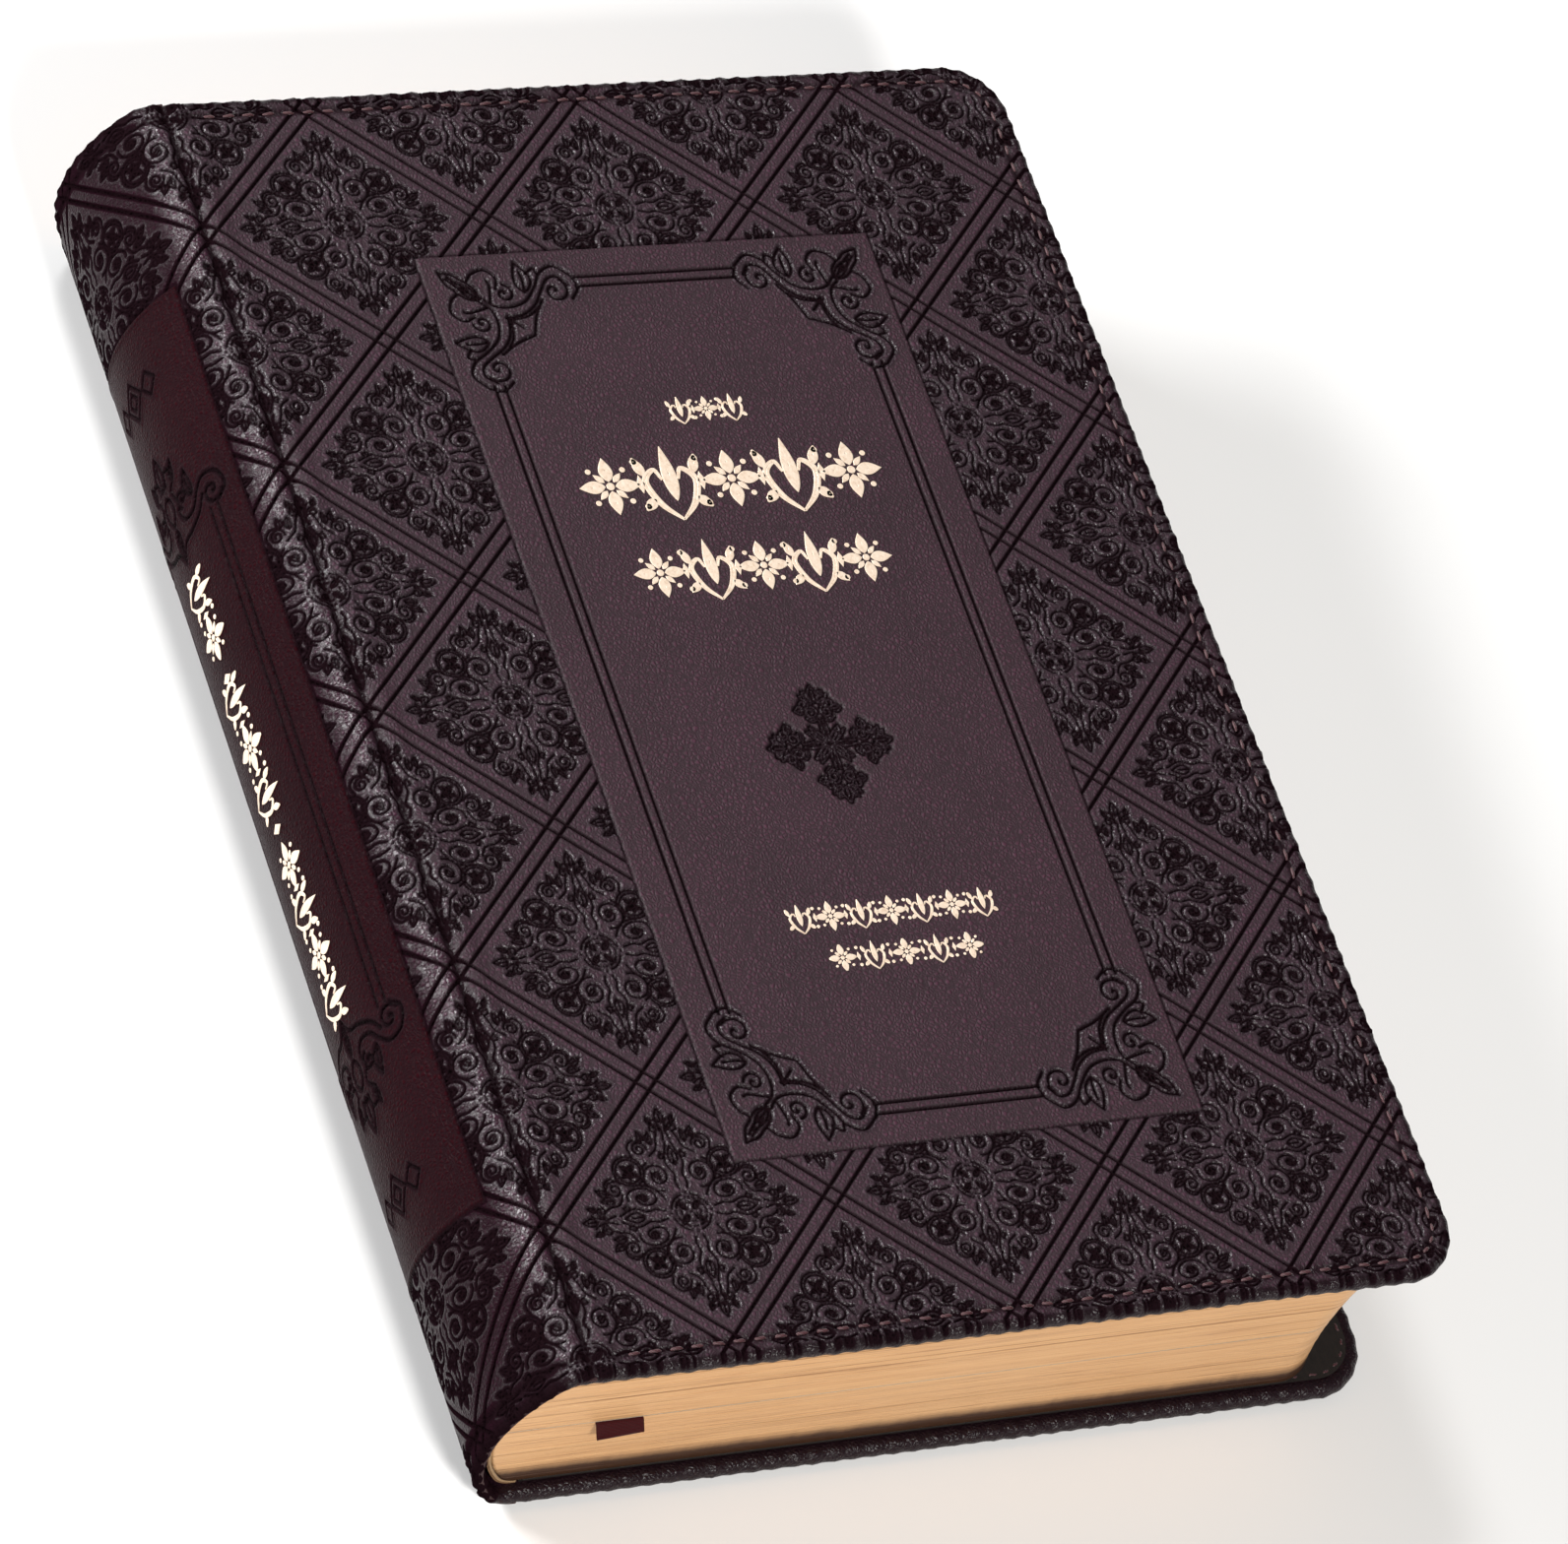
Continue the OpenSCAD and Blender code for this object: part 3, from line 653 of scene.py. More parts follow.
def spine_leather(name, step, material, label_material):
    """The leather on the spine between the two shoulders, turned in at the head and tail."""
    y_rows, _ = row_places(step)
    y_rows = y_rows * (HALF_H - SPINE_EDGE_R) / (HALF_H - COVER_EDGE_R)
    s_cols = np.linspace(LABEL_S, SPINE_L - LABEL_S, int((SPINE_L - 2 * LABEL_S) / step) + 1)
    s, y = np.meshgrid(s_cols, y_rows)
    x = np.full(s.shape, CREASE_X)
    place, out, height, values = leather_shape(s, y, x, front_relief)
    rows, cols = s.shape
    verts = [(place + out * height[..., None]).reshape(-1, 3)]
    faces = [grid_faces(rows, cols, flip=True)]
    bag = {k: [v.ravel()] for k, v in values.items()}
    start = rows * cols
    for row, sign in ((-1, 1), (0, -1)):
        side = np.zeros((cols, 3))
        side[:, 1] = sign
        near = np.minimum(s_cols, SPINE_L - s_cols)
        path = -near if sign > 0 else 2 * PATH_HALF + near
        ring_v, ring_values, n = rolled_edge(place[row], out[row], side, height[row],
                                             np.full(cols, SPINE_EDGE_R),
                                             {k: v[row] for k, v in values.items()}, path)
        verts.append(ring_v)
        index = np.arange(n * cols).reshape(n, cols) + start
        index[0] = np.arange(cols) + ((rows - 1) * cols if sign > 0 else 0)
        a, b = index[:-1, :-1].ravel(), index[:-1, 1:].ravel()
        c, d = index[1:, 1:].ravel(), index[1:, :-1].ravel()
        quad = np.c_[a, b, c, d]
        faces.append(quad[:, ::-1] if sign > 0 else quad)
        for k in bag:
            bag[k].append(ring_values[k])
        start += n * cols
    verts, faces = np.vstack(verts), np.vstack(faces)
    used = np.zeros(len(verts), bool)
    used[faces.ravel()] = True
    remap = np.cumsum(used) - 1
    values = {k: np.concatenate(v)[used] for k, v in bag.items()}
    piece = make_mesh(name, verts[used], remap[faces], material, values)
    piece.data.materials.append(label_material)
    centres = np.empty(len(piece.data.polygons) * 3, np.float32)
    piece.data.polygons.foreach_get("center", centres)
    on_label = np.abs(centres[1::3]) < PANEL[2] * MM
    piece.data.polygons.foreach_set("material_index", on_label.astype(np.int32))
    return piece


# ---------------------------------------------------------------- threads
def edge_point(path, inset):
    """Place and direction along a cover's edge; the opposite of edge_place."""
    half = path > PATH_HALF
    p = np.where(half, 2 * PATH_HALF - path, path)
    angle = np.clip((p - PATH_HEAD) / CORNER_R, 0, math.pi / 2)
    x = np.where(p < PATH_HEAD, CREASE_X + p, ARC_X + (CORNER_R - inset) * np.sin(angle))
    y = np.where(p < PATH_HEAD, HALF_H - inset, ARC_Y + (CORNER_R - inset) * np.cos(angle))
    y = np.where(p > PATH_HEAD + PATH_ARC, ARC_Y - (p - PATH_HEAD - PATH_ARC), y)
    tx, ty = np.cos(angle), -np.sin(angle)
    return np.stack([x, np.where(half, -y, y)], -1), np.stack([np.where(half, -tx, tx), ty], -1)


def tube(points, radii, sides=8, twist=0.0, start=0):
    """A closed tube along points with a radius at each; twist makes it a laid thread."""
    p = np.asarray(points, float)
    along = np.gradient(p, axis=0)
    along /= np.linalg.norm(along, axis=1)[:, None]
    level = np.cross(along, [0.0, 0.0, 1.0])
    bad = np.linalg.norm(level, axis=1) < 1e-6
    level[bad] = [1, 0, 0]
    level /= np.linalg.norm(level, axis=1)[:, None]
    other = np.cross(level, along)
    a = np.linspace(0, 2 * math.pi, sides, endpoint=False)
    turn = np.linspace(0, twist, len(p))
    r = np.asarray(radii)[:, None] * (1 + 0.22 * np.cos(2 * (a[None] + turn[:, None])))
    ring_p = p[:, None] + r[..., None] * (np.cos(a)[None, :, None] * level[:, None]
                                          + np.sin(a)[None, :, None] * other[:, None])
    verts = ring_p.reshape(-1, 3)
    i, j = np.meshgrid(np.arange(len(p) - 1), np.arange(sides), indexing="ij")
    q, k = (i * sides + j).ravel(), (i * sides + (j + 1) % sides).ravel()
    faces = np.c_[q, k, k + sides, q + sides] + start
    caps = []
    for end, order in ((0, -1), (len(p) - 1, 1)):
        idx = np.arange(sides)[::order] + end * sides + start
        for m in range(1, sides - 2, 2):
            caps.append([idx[0], idx[m], idx[m + 1], idx[m + 2]])
    return verts, np.vstack([faces, caps])


def stitching(name, material, mirror=False):
    """Short laid stitches sunk in the seam, on both faces of a cover."""
    verts, faces, start = [], [], 0
    count = round(2 * PATH_HALF / STITCH_PITCH)
    t = np.linspace(-1, 1, 9)
    rng = np.random.default_rng(5 + mirror)
    for i in range(2, count - 1):
        centre = i * STITCH_PITCH + rng.uniform(-0.08, 0.08)
        lean = rng.uniform(-0.12, 0.12)
        for face_z, sign in ((TOP_Z - 0.50, 1), (TOP_Z - COVER_T + 0.12, -1)):
            xy, _ = edge_point(centre + t * 1.15, STITCH_INSET + lean * t)
            z = face_z + sign * (0.16 - 0.5 * np.abs(t) ** 3)
            radii = 0.27 * (1 - 0.35 * t**4)
            v, f = tube(np.c_[xy, z], radii, 8, 7.0, start)
            verts.append(v)
            faces.append(f)
            start += len(v)
    verts, faces = np.vstack(verts), np.vstack(faces)
    if mirror:
        verts[:, 2] = TOP_Z - verts[:, 2]
        faces = faces[:, ::-1]
    return make_mesh(name, verts, faces, material)


# ---------------------------------------------------------------- gold ornaments
class Plates:
    """Thin closed plates from 2D outlines, laid on a surface by a placing function."""

    def __init__(self, lay, thick=0.07):
        self.lay, self.thick = lay, thick
        self.verts, self.faces, self.count = [], [], 0

    def band(self, outer, inner):
        """A plate between two closed outlines with the same number of points."""
        n = len(outer)
        flat = np.vstack([outer, inner])
        low = self.lay(flat, -0.05)
        mid = self.lay(np.vstack([outer * 0.88 + inner * 0.12, inner * 0.88 + outer * 0.12]), self.thick)
        high = self.lay(flat, self.thick * 0.55)
        self.verts.append(np.vstack([low, high, mid]))
        i = np.arange(n)
        j = (i + 1) % n
        base = self.count
        quads = [np.c_[i, j, j + 2 * n, i + 2 * n], np.c_[j + n, i + n, i + 3 * n, j + 3 * n],
                 np.c_[i + 2 * n, j + 2 * n, j + 4 * n, i + 4 * n],
                 np.c_[j + 3 * n, i + 3 * n, i + 5 * n, j + 5 * n],
                 np.c_[i + 4 * n, j + 4 * n, j + 5 * n, i + 5 * n],
                 np.c_[j, i, i + n, j + n]]
        self.faces.append(np.vstack(quads) + base)
        self.count += 6 * n

    def shape(self, outline):
        centre = outline.mean(axis=0)
        self.band(outline, centre + (outline - centre) * 0.04)

    def leaf(self, x0, y0, x1, y1, width, bend=0.0):
        left, right, _ = leaf(x0, y0, x1, y1, width, bend)
        self.shape(np.vstack([right[:-1], left[:0:-1]])[::2])

    def ring(self, x, y, r, w, squeeze=1.0):
        a = np.linspace(0, 2 * math.pi, 40, endpoint=False)
        unit = np.c_[np.cos(a), np.sin(a) * squeeze]
        self.band(np.array([x, y]) + unit * r, np.array([x, y]) + unit * (r - w))

    def dot(self, x, y, r):
        a = np.linspace(0, 2 * math.pi, 20, endpoint=False)
        self.shape(np.c_[x + r * np.cos(a), y + r * np.sin(a)])

    def lozenge(self, x, y, half_x, half_y, w=None):
        corners = np.array([[half_x, 0], [0, half_y], [-half_x, 0], [0, -half_y]])
        t = np.linspace(0, 1, 6, endpoint=False)[:, None]
        around = np.vstack([p * (1 - t) + q * t for p, q in zip(corners, np.roll(corners, -1, 0))])
        if w is None:
            self.shape(around + [x, y])
        else:
            self.band(around + [x, y], around * (1 - w / min(half_x, half_y)) + [x, y])

    def stroke(self, line, width):
        """A tapered stroke along a curve."""
        line = np.asarray(line)[::2]
        along = np.gradient(line, axis=0)
        along /= np.hypot(*along.T)[:, None]
        side = np.c_[-along[:, 1], along[:, 0]]
        t = np.linspace(0, 1, len(line))
        half = (width / 2 * (0.25 + 0.75 * np.sin(math.pi * np.clip(t * 0.9 + 0.05, 0, 1))))[:, None]
        a, b = line + side * half, line - side * half
        core = np.vstack([line - side * half * 0.02, (line + side * half * 0.02)[::-1]])
        self.band(np.vstack([b, a[::-1]]), core)

    def build(self, name, material):
        verts, faces = np.vstack(self.verts), np.vstack(self.faces)
        piece = make_mesh(name, verts, faces, material, smooth_faces=False)
        return piece


def fleuron(p, x, y, h, turn=0):
    """A four-petalled flower with scrolls between, h high."""
    k = h / 2
    for a in range(4):
        c, s = math.cos(math.radians(90 * a + turn)), math.sin(math.radians(90 * a + turn))
        p.leaf(x + 0.16 * k * c, y + 0.16 * k * s, x + k * c, y + k * s, 0.44 * k)
        c, s = math.cos(math.radians(90 * a + 45 + turn)), math.sin(math.radians(90 * a + 45 + turn))
        p.leaf(x + 0.2 * k * c, y + 0.2 * k * s, x + 0.62 * k * c, y + 0.62 * k * s, 0.2 * k)
        p.dot(x + 0.78 * k * c, y + 0.78 * k * s, 0.09 * k)
    p.dot(x, y, 0.13 * k)


def spray(p, x, y, h, way=1):
    """A pair of curled branches either side of an upright bud, h high."""
    k = h / 2
    for side in (1, -1):
        stem = curve((x, y - k * way), (x + side * 0.42 * k, y - 0.55 * k * way),
                     (x + side * 0.62 * k, y + 0.05 * k * way),
                     (x + side * 0.34 * k, y + 0.36 * k * way), (x + side * 0.2 * k, y + 0.08 * k * way))
        p.stroke(stem, 0.17 * k)
        p.leaf(x + side * 0.5 * k, y - 0.4 * k * way, x + side * 0.84 * k, y - 0.72 * k * way, 0.26 * k)
        p.leaf(x + side * 0.6 * k, y + 0.2 * k * way, x + side * 0.78 * k, y + 0.74 * k * way, 0.26 * k)
    p.leaf(x, y - 0.5 * k * way, x, y + k * way, 0.36 * k)


def ornament_row(p, x, y, width, h, count):
    """A row of ornaments: fleurons and sprays by turns, with small lozenges between."""
    pitch = width / count
    for i in range(count):
        at = x - width / 2 + (i + 0.5) * pitch
        if (i + count // 2) % 2 == 0:
            fleuron(p, at, y, min(h, pitch * 1.02))
        else:
            spray(p, at, y, h, 1)
        if i:
            p.lozenge(at - pitch / 2, y, 0.045 * h + 0.12, 0.11 * h + 0.2)
            p.dot(at - pitch / 2, y + 0.3 * h, 0.035 * h + 0.1)
            p.dot(at - pitch / 2, y - 0.3 * h, 0.035 * h + 0.1)


FOIL_DEPTH = 0.02


def front_foil(name, material):
    def lay(p, z):
        return np.c_[p, np.full(len(p), TOP_Z + 0.12 + FOIL_DEPTH + z)]

    p = Plates(lay)
    cx = PANEL[0] + 0.3
    for y, h, width, count in ((52.0, 5.5, 14, 3), (38.3, 14.4, 54, 5), (21.4, 11.6, 46, 5),
                               (-43.8, 5.5, 37.5, 7), (-51.4, 5.2, 28, 5)):
        ornament_row(p, cx, y, width, h, count)
    return p.build(name, material)


def spine_foil(name, material):
    def lay(p, z):
        # ornaments run down the spine: their x is along -Y and their y towards the front
        x, zz, _, _ = spine_section(SPINE_L / 2 - p[:, 1], 0.15 + FOIL_DEPTH + z)
        return np.c_[x, -p[:, 0], zz]

    p = Plates(lay)
    for centre, width, count in ((-33.5, 17, 2), (-8.5, 27, 3), (25.5, 33, 4)):
        ornament_row(p, centre + 1.2, 0.6, width, 9.0, count)
    for at in (-21.5, 6.5):
        p.lozenge(at + 1.2, 0.6, 0.9, 1.5)
    return p.build(name, material)


# ---------------------------------------------------------------- pages
BLOCK_DEPTH = 3.6
PAGES_LOW_Z = 3.65
PAGE_OPENINGS = (0.12, 0.245, 0.285, 0.5, 0.73)


def block_outline(step_edge, step_side):
    """Outline of the page block in plan from the head of the spine round to its tail; x is the
    distance from the back of the block, still to be moved with the height of the leaf."""
    r = PAGE_CORNER_R
    head = np.linspace(0, 1, int(140 / step_edge))
    arc = np.linspace(0, math.pi / 2, 24)[1:-1]
    fore = np.linspace(PAGE_Y - r, -(PAGE_Y - r), int(2 * (PAGE_Y - r) / step_side))
    return head, arc, fore


def page_block(name, low_z, high_z, step_z, material):
    """One half of the pages: a closed solid whose edges show the leaves."""
    r = PAGE_CORNER_R
    z = np.linspace(low_z, high_z, int((high_z - low_z) / step_z) + 1)
    head, arc, fore = block_outline(0.7, 1.6)
    inset = 1 - ((z - MID_Z) / (MID_Z - PAGES_LOW_Z)) ** 2
    fore_x = PAGE_X - FORE_HOLLOW * np.clip(inset, 0, 1)
    # the round back of the block, a fixed depth inside the spine
    off = np.abs(z - MID_Z)
    deep = SPINE_R - BLOCK_DEPTH
    back_x = SPINE_CX - np.sqrt(np.maximum(deep**2 - off**2, 0))
    small = SHOULDER_R - BLOCK_DEPTH
    over = off > SHOULDER_H + small * math.sin(ARC_ANGLE)
    rise = np.clip(off - SHOULDER_H, 0, small)
    back_x = np.where(over, CREASE_X - np.sqrt(np.maximum(small**2 - rise**2, 0)), back_x)
    rows = []
    for zi, fx, bx in zip(z, fore_x, back_x):
        head_x = bx + (fx - r - bx) * head
        outline = np.vstack([
            np.c_[head_x, np.full(len(head), PAGE_Y)],
            np.c_[fx - r + r * np.sin(arc), PAGE_Y - r + r * np.cos(arc)],
            np.c_[np.full(len(fore), fx), fore],
            np.c_[fx - r + r * np.sin(arc[::-1]), -(PAGE_Y - r + r * np.cos(arc[::-1]))],
            np.c_[head_x[::-1], np.full(len(head), -PAGE_Y)],
            np.c_[np.full(60, bx), np.linspace(-PAGE_Y, PAGE_Y, 62)[1:-1]],
        ])
        rows.append(outline)
    grid = np.array(rows)
    nxt, prv = np.roll(grid, -1, 1), np.roll(grid, 1, 1)
    tangent = nxt - prv
    length = np.hypot(tangent[..., 0], tangent[..., 1])[..., None]
    tangent = tangent / np.maximum(length, 1e-9)
    outward = np.stack([-tangent[..., 1], tangent[..., 0]], -1)
    run = np.cumsum(np.hypot(*(grid[0] - np.roll(grid[0], 1, 0)).T))
    rng = np.random.default_rng(31)
    # leaves stand a little proud or sink a little, in bundles that fade along the edge
    n = len(z)
    fine = rng.normal(0, 1, n)[:, None] * (0.6 + 0.4 * wander(run, 22, 33)[None])
    bundle = wander(z * 1.0, 1.1, 34)[:, None] * (0.5 + 0.5 * wander(run, 45, 35)[None])
    stray = rng.normal(0, 1, (n, 1)) > 2.1
    gap = stray * smooth(0.5 + 1.2 * wander(run, 30, 36))[None]
    # a few openings between the bundles run the whole way round
    for k, share in enumerate(PAGE_OPENINGS):
        here = np.abs(z - (TOP_Z - PAGES_LOW_Z - share * (TOP_Z - 2 * PAGES_LOW_Z))) < step_z * 0.75
        gap = np.maximum(gap, here[:, None] * smooth(0.75 + 0.8 * wander(run, 38, 50 + k))[None])
    at_edge = np.minimum(z - low_z, high_z - z)[:, None] > step_z * 0.5
    lift = (0.030 * fine + 0.05 * bundle - 0.14 * gap) * at_edge - 0.06
    grid = grid + outward * lift[..., None]
    m = grid.shape[1]
    verts = np.concatenate([grid, np.broadcast_to(z[:, None, None], (n, m, 1))], -1).reshape(-1, 3)
    i, j = np.meshgrid(np.arange(n - 1), np.arange(m), indexing="ij")
    a, b = (i * m + j).ravel(), (i * m + (j + 1) % m).ravel()
    faces = np.c_[b, a, a + m, b + m]
    # the flat faces are ruled from the head to the tail
    nh, na, nf = len(head), len(arc), len(fore)
    cap_faces = []
    total = nh + na + nf + na + nh
    head_chain = np.arange(0, nh + na)
    tail_chain = total - 1 - head_chain
    for level, flip in ((0, False), (n - 1, True)):
        h, t = head_chain + level * m, tail_chain + level * m
        quads = np.c_[h[:-1], h[1:], t[1:], t[:-1]]
        cap_faces.append(quads[:, ::-1] if flip else quads)
    values = {"gap": gap.ravel().astype(float)}
    solid = make_mesh(name, verts, np.vstack([faces] + cap_faces), material, values)
    fill_holes(solid)
    return solid


def fill_holes(piece):
    """Closes the gaps left between the ruled faces and the curved fore-edge and back."""
    bm = bmesh.new()
    bm.from_mesh(piece.data)
    open_edges = [e for e in bm.edges if e.is_boundary]
    bmesh.ops.holes_fill(bm, edges=open_edges, sides=0)
    bmesh.ops.recalc_face_normals(bm, faces=bm.faces)
    bm.to_mesh(piece.data)
    bm.free()
    normals = np.empty(len(piece.data.polygons) * 3, np.float32)
    piece.data.polygons.foreach_get("normal", normals)
    piece.data.polygons.foreach_set("use_smooth", np.abs(normals[2::3]) < 0.95)


def flyleaf(name, low, high, material):
    """A single leaf with a slight wave, its columns closer together near the crease."""
    x = np.r_[np.linspace(low[0], low[0] + 6, 16), np.linspace(low[0] + 6, high[0], 60)[1:]]
    r = PAGE_CORNER_R
    angle = np.linspace(0, math.pi / 2, 10)[1:]
    top = high[1]
    y = np.r_[-(top - r + r * np.sin(angle))[::-1], np.linspace(-(top - r), top - r, 90),
              top - r + r * np.sin(angle)]
    pull = np.r_[(r - r * np.cos(angle))[::-1], np.zeros(90), r - r * np.cos(angle)]
    t = (x - x[0]) / (x[-1] - x[0])
    gx = x[0] + t[None] * (x[-1] - x[0] - pull[:, None])
    gy = np.broadcast_to(y[:, None], gx.shape)
    thick = 0.12
    mid = (low[2] + high[2]) / 2
    wave = 0.012 * wander(gx + 0.4 * gy, 14, 41)
    rows, cols = gx.shape
    upper = np.stack([gx, gy, mid + thick / 2 + wave], -1).reshape(-1, 3)
    lower = np.stack([gx, gy, mid - thick / 2 + wave], -1).reshape(-1, 3)
    verts = np.vstack([upper, lower])
    top_f = grid_faces(rows, cols)
    low_f = grid_faces(rows, cols, flip=True, offset=rows * cols)
    index = np.arange(rows * cols).reshape(rows, cols)
    loop = np.r_[index[0, :], index[1:, -1], index[-1, -2::-1], index[-2:0:-1, 0]]
    nxt = np.roll(loop, -1)
    wall = np.c_[nxt, loop, loop + rows * cols, nxt + rows * cols]
    return make_mesh(name, verts, np.vstack([top_f, low_f, wall]), material)


def back_of_block(z):
    """How far towards the spine the pages reach at a height."""
    return SPINE_CX - math.sqrt((SPINE_R - BLOCK_DEPTH) ** 2 - (z - MID_Z) ** 2)


def ribbon(name, material):
    """A woven satin ribbon between the leaves, its cut end drooping over the tail."""
    width = 8.0
    x_mid, z_mid = ribbon_high[0] - width / 2, ribbon_high[2] - 0.15
    bend_y, droop, tail = 0.3, math.radians(38), 2.2
    head_x, head_y = back_of_block(z_mid) + width / 2 + 0.1, PAGE_Y - 3
    turn_y = 60.0
    y_in = np.r_[np.linspace(head_y, turn_y, 60), np.linspace(turn_y, -PAGE_Y - bend_y, 180)[1:]]
    x_in = x_mid + (head_x - x_mid) * np.clip((y_in - turn_y) / (head_y - turn_y), 0, 1)
    run = np.linspace(0, tail, 12)[1:]
    y_out = -PAGE_Y - bend_y - run * math.cos(droop)
    z_out = z_mid - run * math.sin(droop)
    y = np.r_[y_in, y_out]
    x = np.r_[x_in, np.full(len(run), x_mid)]
    z = np.r_[np.full(len(y_in), z_mid), z_out]
    across = np.linspace(-1, 1, 33)
    half_t = 0.13 * (1 - 0.25 * across**8) + 0.02 * np.cos(across * 46)
    gx = x[:, None] + across[None] * width / 2
    slant = np.where(np.arange(len(y)) == len(y) - 1, 0.25, 0.0)[:, None] * across[None]
    gy = y[:, None] + slant
    top = np.stack([gx, gy, z[:, None] + half_t[None]], -1)
    low = np.stack([gx, gy, z[:, None] - half_t[None]], -1)
    rows, cols = gx.shape
    verts = np.vstack([top.reshape(-1, 3), low.reshape(-1, 3)])
    up = grid_faces(rows, cols, flip=True)
    down = grid_faces(rows, cols, offset=rows * cols)
    index = np.arange(rows * cols).reshape(rows, cols)
    loop = np.r_[index[0, :], index[1:, -1], index[-1, -2::-1], index[-2:0:-1, 0]]
    nxt = np.roll(loop, -1)
    wall = np.c_[loop, nxt, nxt + rows * cols, loop + rows * cols]
    return make_mesh(name, verts, np.vstack([up, down, wall]), material)


# ---------------------------------------------------------------- materials
def rgb(r, g, b):
    """A colour as the eye reads it, 0 to 255, as the linear value the shader wants."""
    out = []
    for c in (r, g, b):
        c /= 255
        out.append(c / 12.92 if c <= 0.04045 else ((c + 0.055) / 1.055) ** 2.4)
    return (*out, 1.0)


class Mat:
    def __init__(self, name, **sockets):
        self.mat = bpy.data.materials.new(name)
        self.mat.use_nodes = True
        self.tree = self.mat.node_tree
        self.shader = self.tree.nodes["Principled BSDF"]
        for key, value in sockets.items():
            self.shader.inputs[key.replace("_", " ")].default_value = value
        coords = self.node("ShaderNodeTexCoord")
        self.place = coords.outputs["Object"]

    def node(self, kind, **settings):
        made = self.tree.nodes.new(kind)
        for key, value in settings.items():
            setattr(made, key, value)
        return made

    def link(self, a, b):
        self.tree.links.new(a, b)

    def feed(self, node, key, value):
        if isinstance(value, bpy.types.NodeSocket):
            self.link(value, node.inputs[key])
        else:
            node.inputs[key].default_value = value

    def scaled(self, scale, place=None):
        n = self.node("ShaderNodeMapping")
        self.link(place or self.place, n.inputs["Vector"])
        n.inputs["Scale"].default_value = scale if hasattr(scale, "__len__") else (scale,) * 3
        return n.outputs["Vector"]

    def noise(self, scale, detail=3.0, rough=0.5, stretch=(1, 1, 1)):
        """A noise value; scale is the number of features per millimetre."""
        n = self.node("ShaderNodeTexNoise")
        self.link(self.scaled(tuple(scale * 1000 * s for s in stretch)), n.inputs["Vector"])
        n.inputs["Scale"].default_value = 1.0
        n.inputs["Detail"].default_value = detail
        n.inputs["Roughness"].default_value = rough
        return n.outputs["Fac"]

    def cells(self, scale, feature="DISTANCE_TO_EDGE", randomness=1.0, stretch=(1, 1, 1)):
        n = self.node("ShaderNodeTexVoronoi", feature=feature)
        self.link(self.scaled(tuple(scale * 1000 * s for s in stretch)), n.inputs["Vector"])
        n.inputs["Scale"].default_value = 1.0
        n.inputs["Randomness"].default_value = randomness
        return n.outputs["Distance"]

    def bands(self, scale, direction="X", distortion=0.0):
        n = self.node("ShaderNodeTexWave", wave_type="BANDS", bands_direction=direction)
        self.link(self.scaled(scale * 1000), n.inputs["Vector"])
        n.inputs["Scale"].default_value = 1.0
        n.inputs["Distortion"].default_value = distortion
        return n.outputs["Fac"]

    def value(self, key):
        return self.node("ShaderNodeAttribute", attribute_name=key).outputs["Fac"]

    def ramp(self, value, *stops):
        n = self.node("ShaderNodeValToRGB")
        ramp = n.color_ramp
        while len(ramp.elements) < len(stops):
            ramp.elements.new(0.5)
        for e, (at, colour) in zip(ramp.elements, stops):
            e.position = at
            e.color = colour if hasattr(colour, "__len__") else (colour, colour, colour, 1)
        self.link(value, n.inputs["Fac"])
        return n.outputs["Color"]

    def mix(self, fac, a, b, blend="MIX"):
        n = self.node("ShaderNodeMix", data_type="RGBA", blend_type=blend)
        for key, value in ((0, fac), (6, a), (7, b)):
            self.feed(n, key, value)
        return n.outputs[2]

    def math(self, kind, a, b=0.0, clamp=False):
        n = self.node("ShaderNodeMath", operation=kind, use_clamp=clamp)
        self.feed(n, 0, a)
        self.feed(n, 1, b)
        return n.outputs[0]

    def span(self, value, low, high):
        """A 0 to 1 value laid out from low to high."""
        n = self.node("ShaderNodeMapRange")
        self.feed(n, 0, value)
        n.inputs[3].default_value, n.inputs[4].default_value = low, high
        return n.outputs[0]

    def bump(self, height, strength, distance=0.0001, under=None):
        n = self.node("ShaderNodeBump")
        n.inputs["Strength"].default_value = strength
        n.inputs["Distance"].default_value = distance
        self.link(height, n.inputs["Height"])
        if under is not None:
            self.link(under, n.inputs["Normal"])
        return n.outputs["Normal"]

    def done(self, colour=None, rough=None, normal=None):
        for key, value in (("Base Color", colour), ("Roughness", rough), ("Normal", normal)):
            if value is not None:
                self.feed(self.shader, key, value)
        return self.mat


BENT_FROM, BENT_TO = (CREASE_X + 1.5) * MM, (CREASE_X - 1.0) * MM


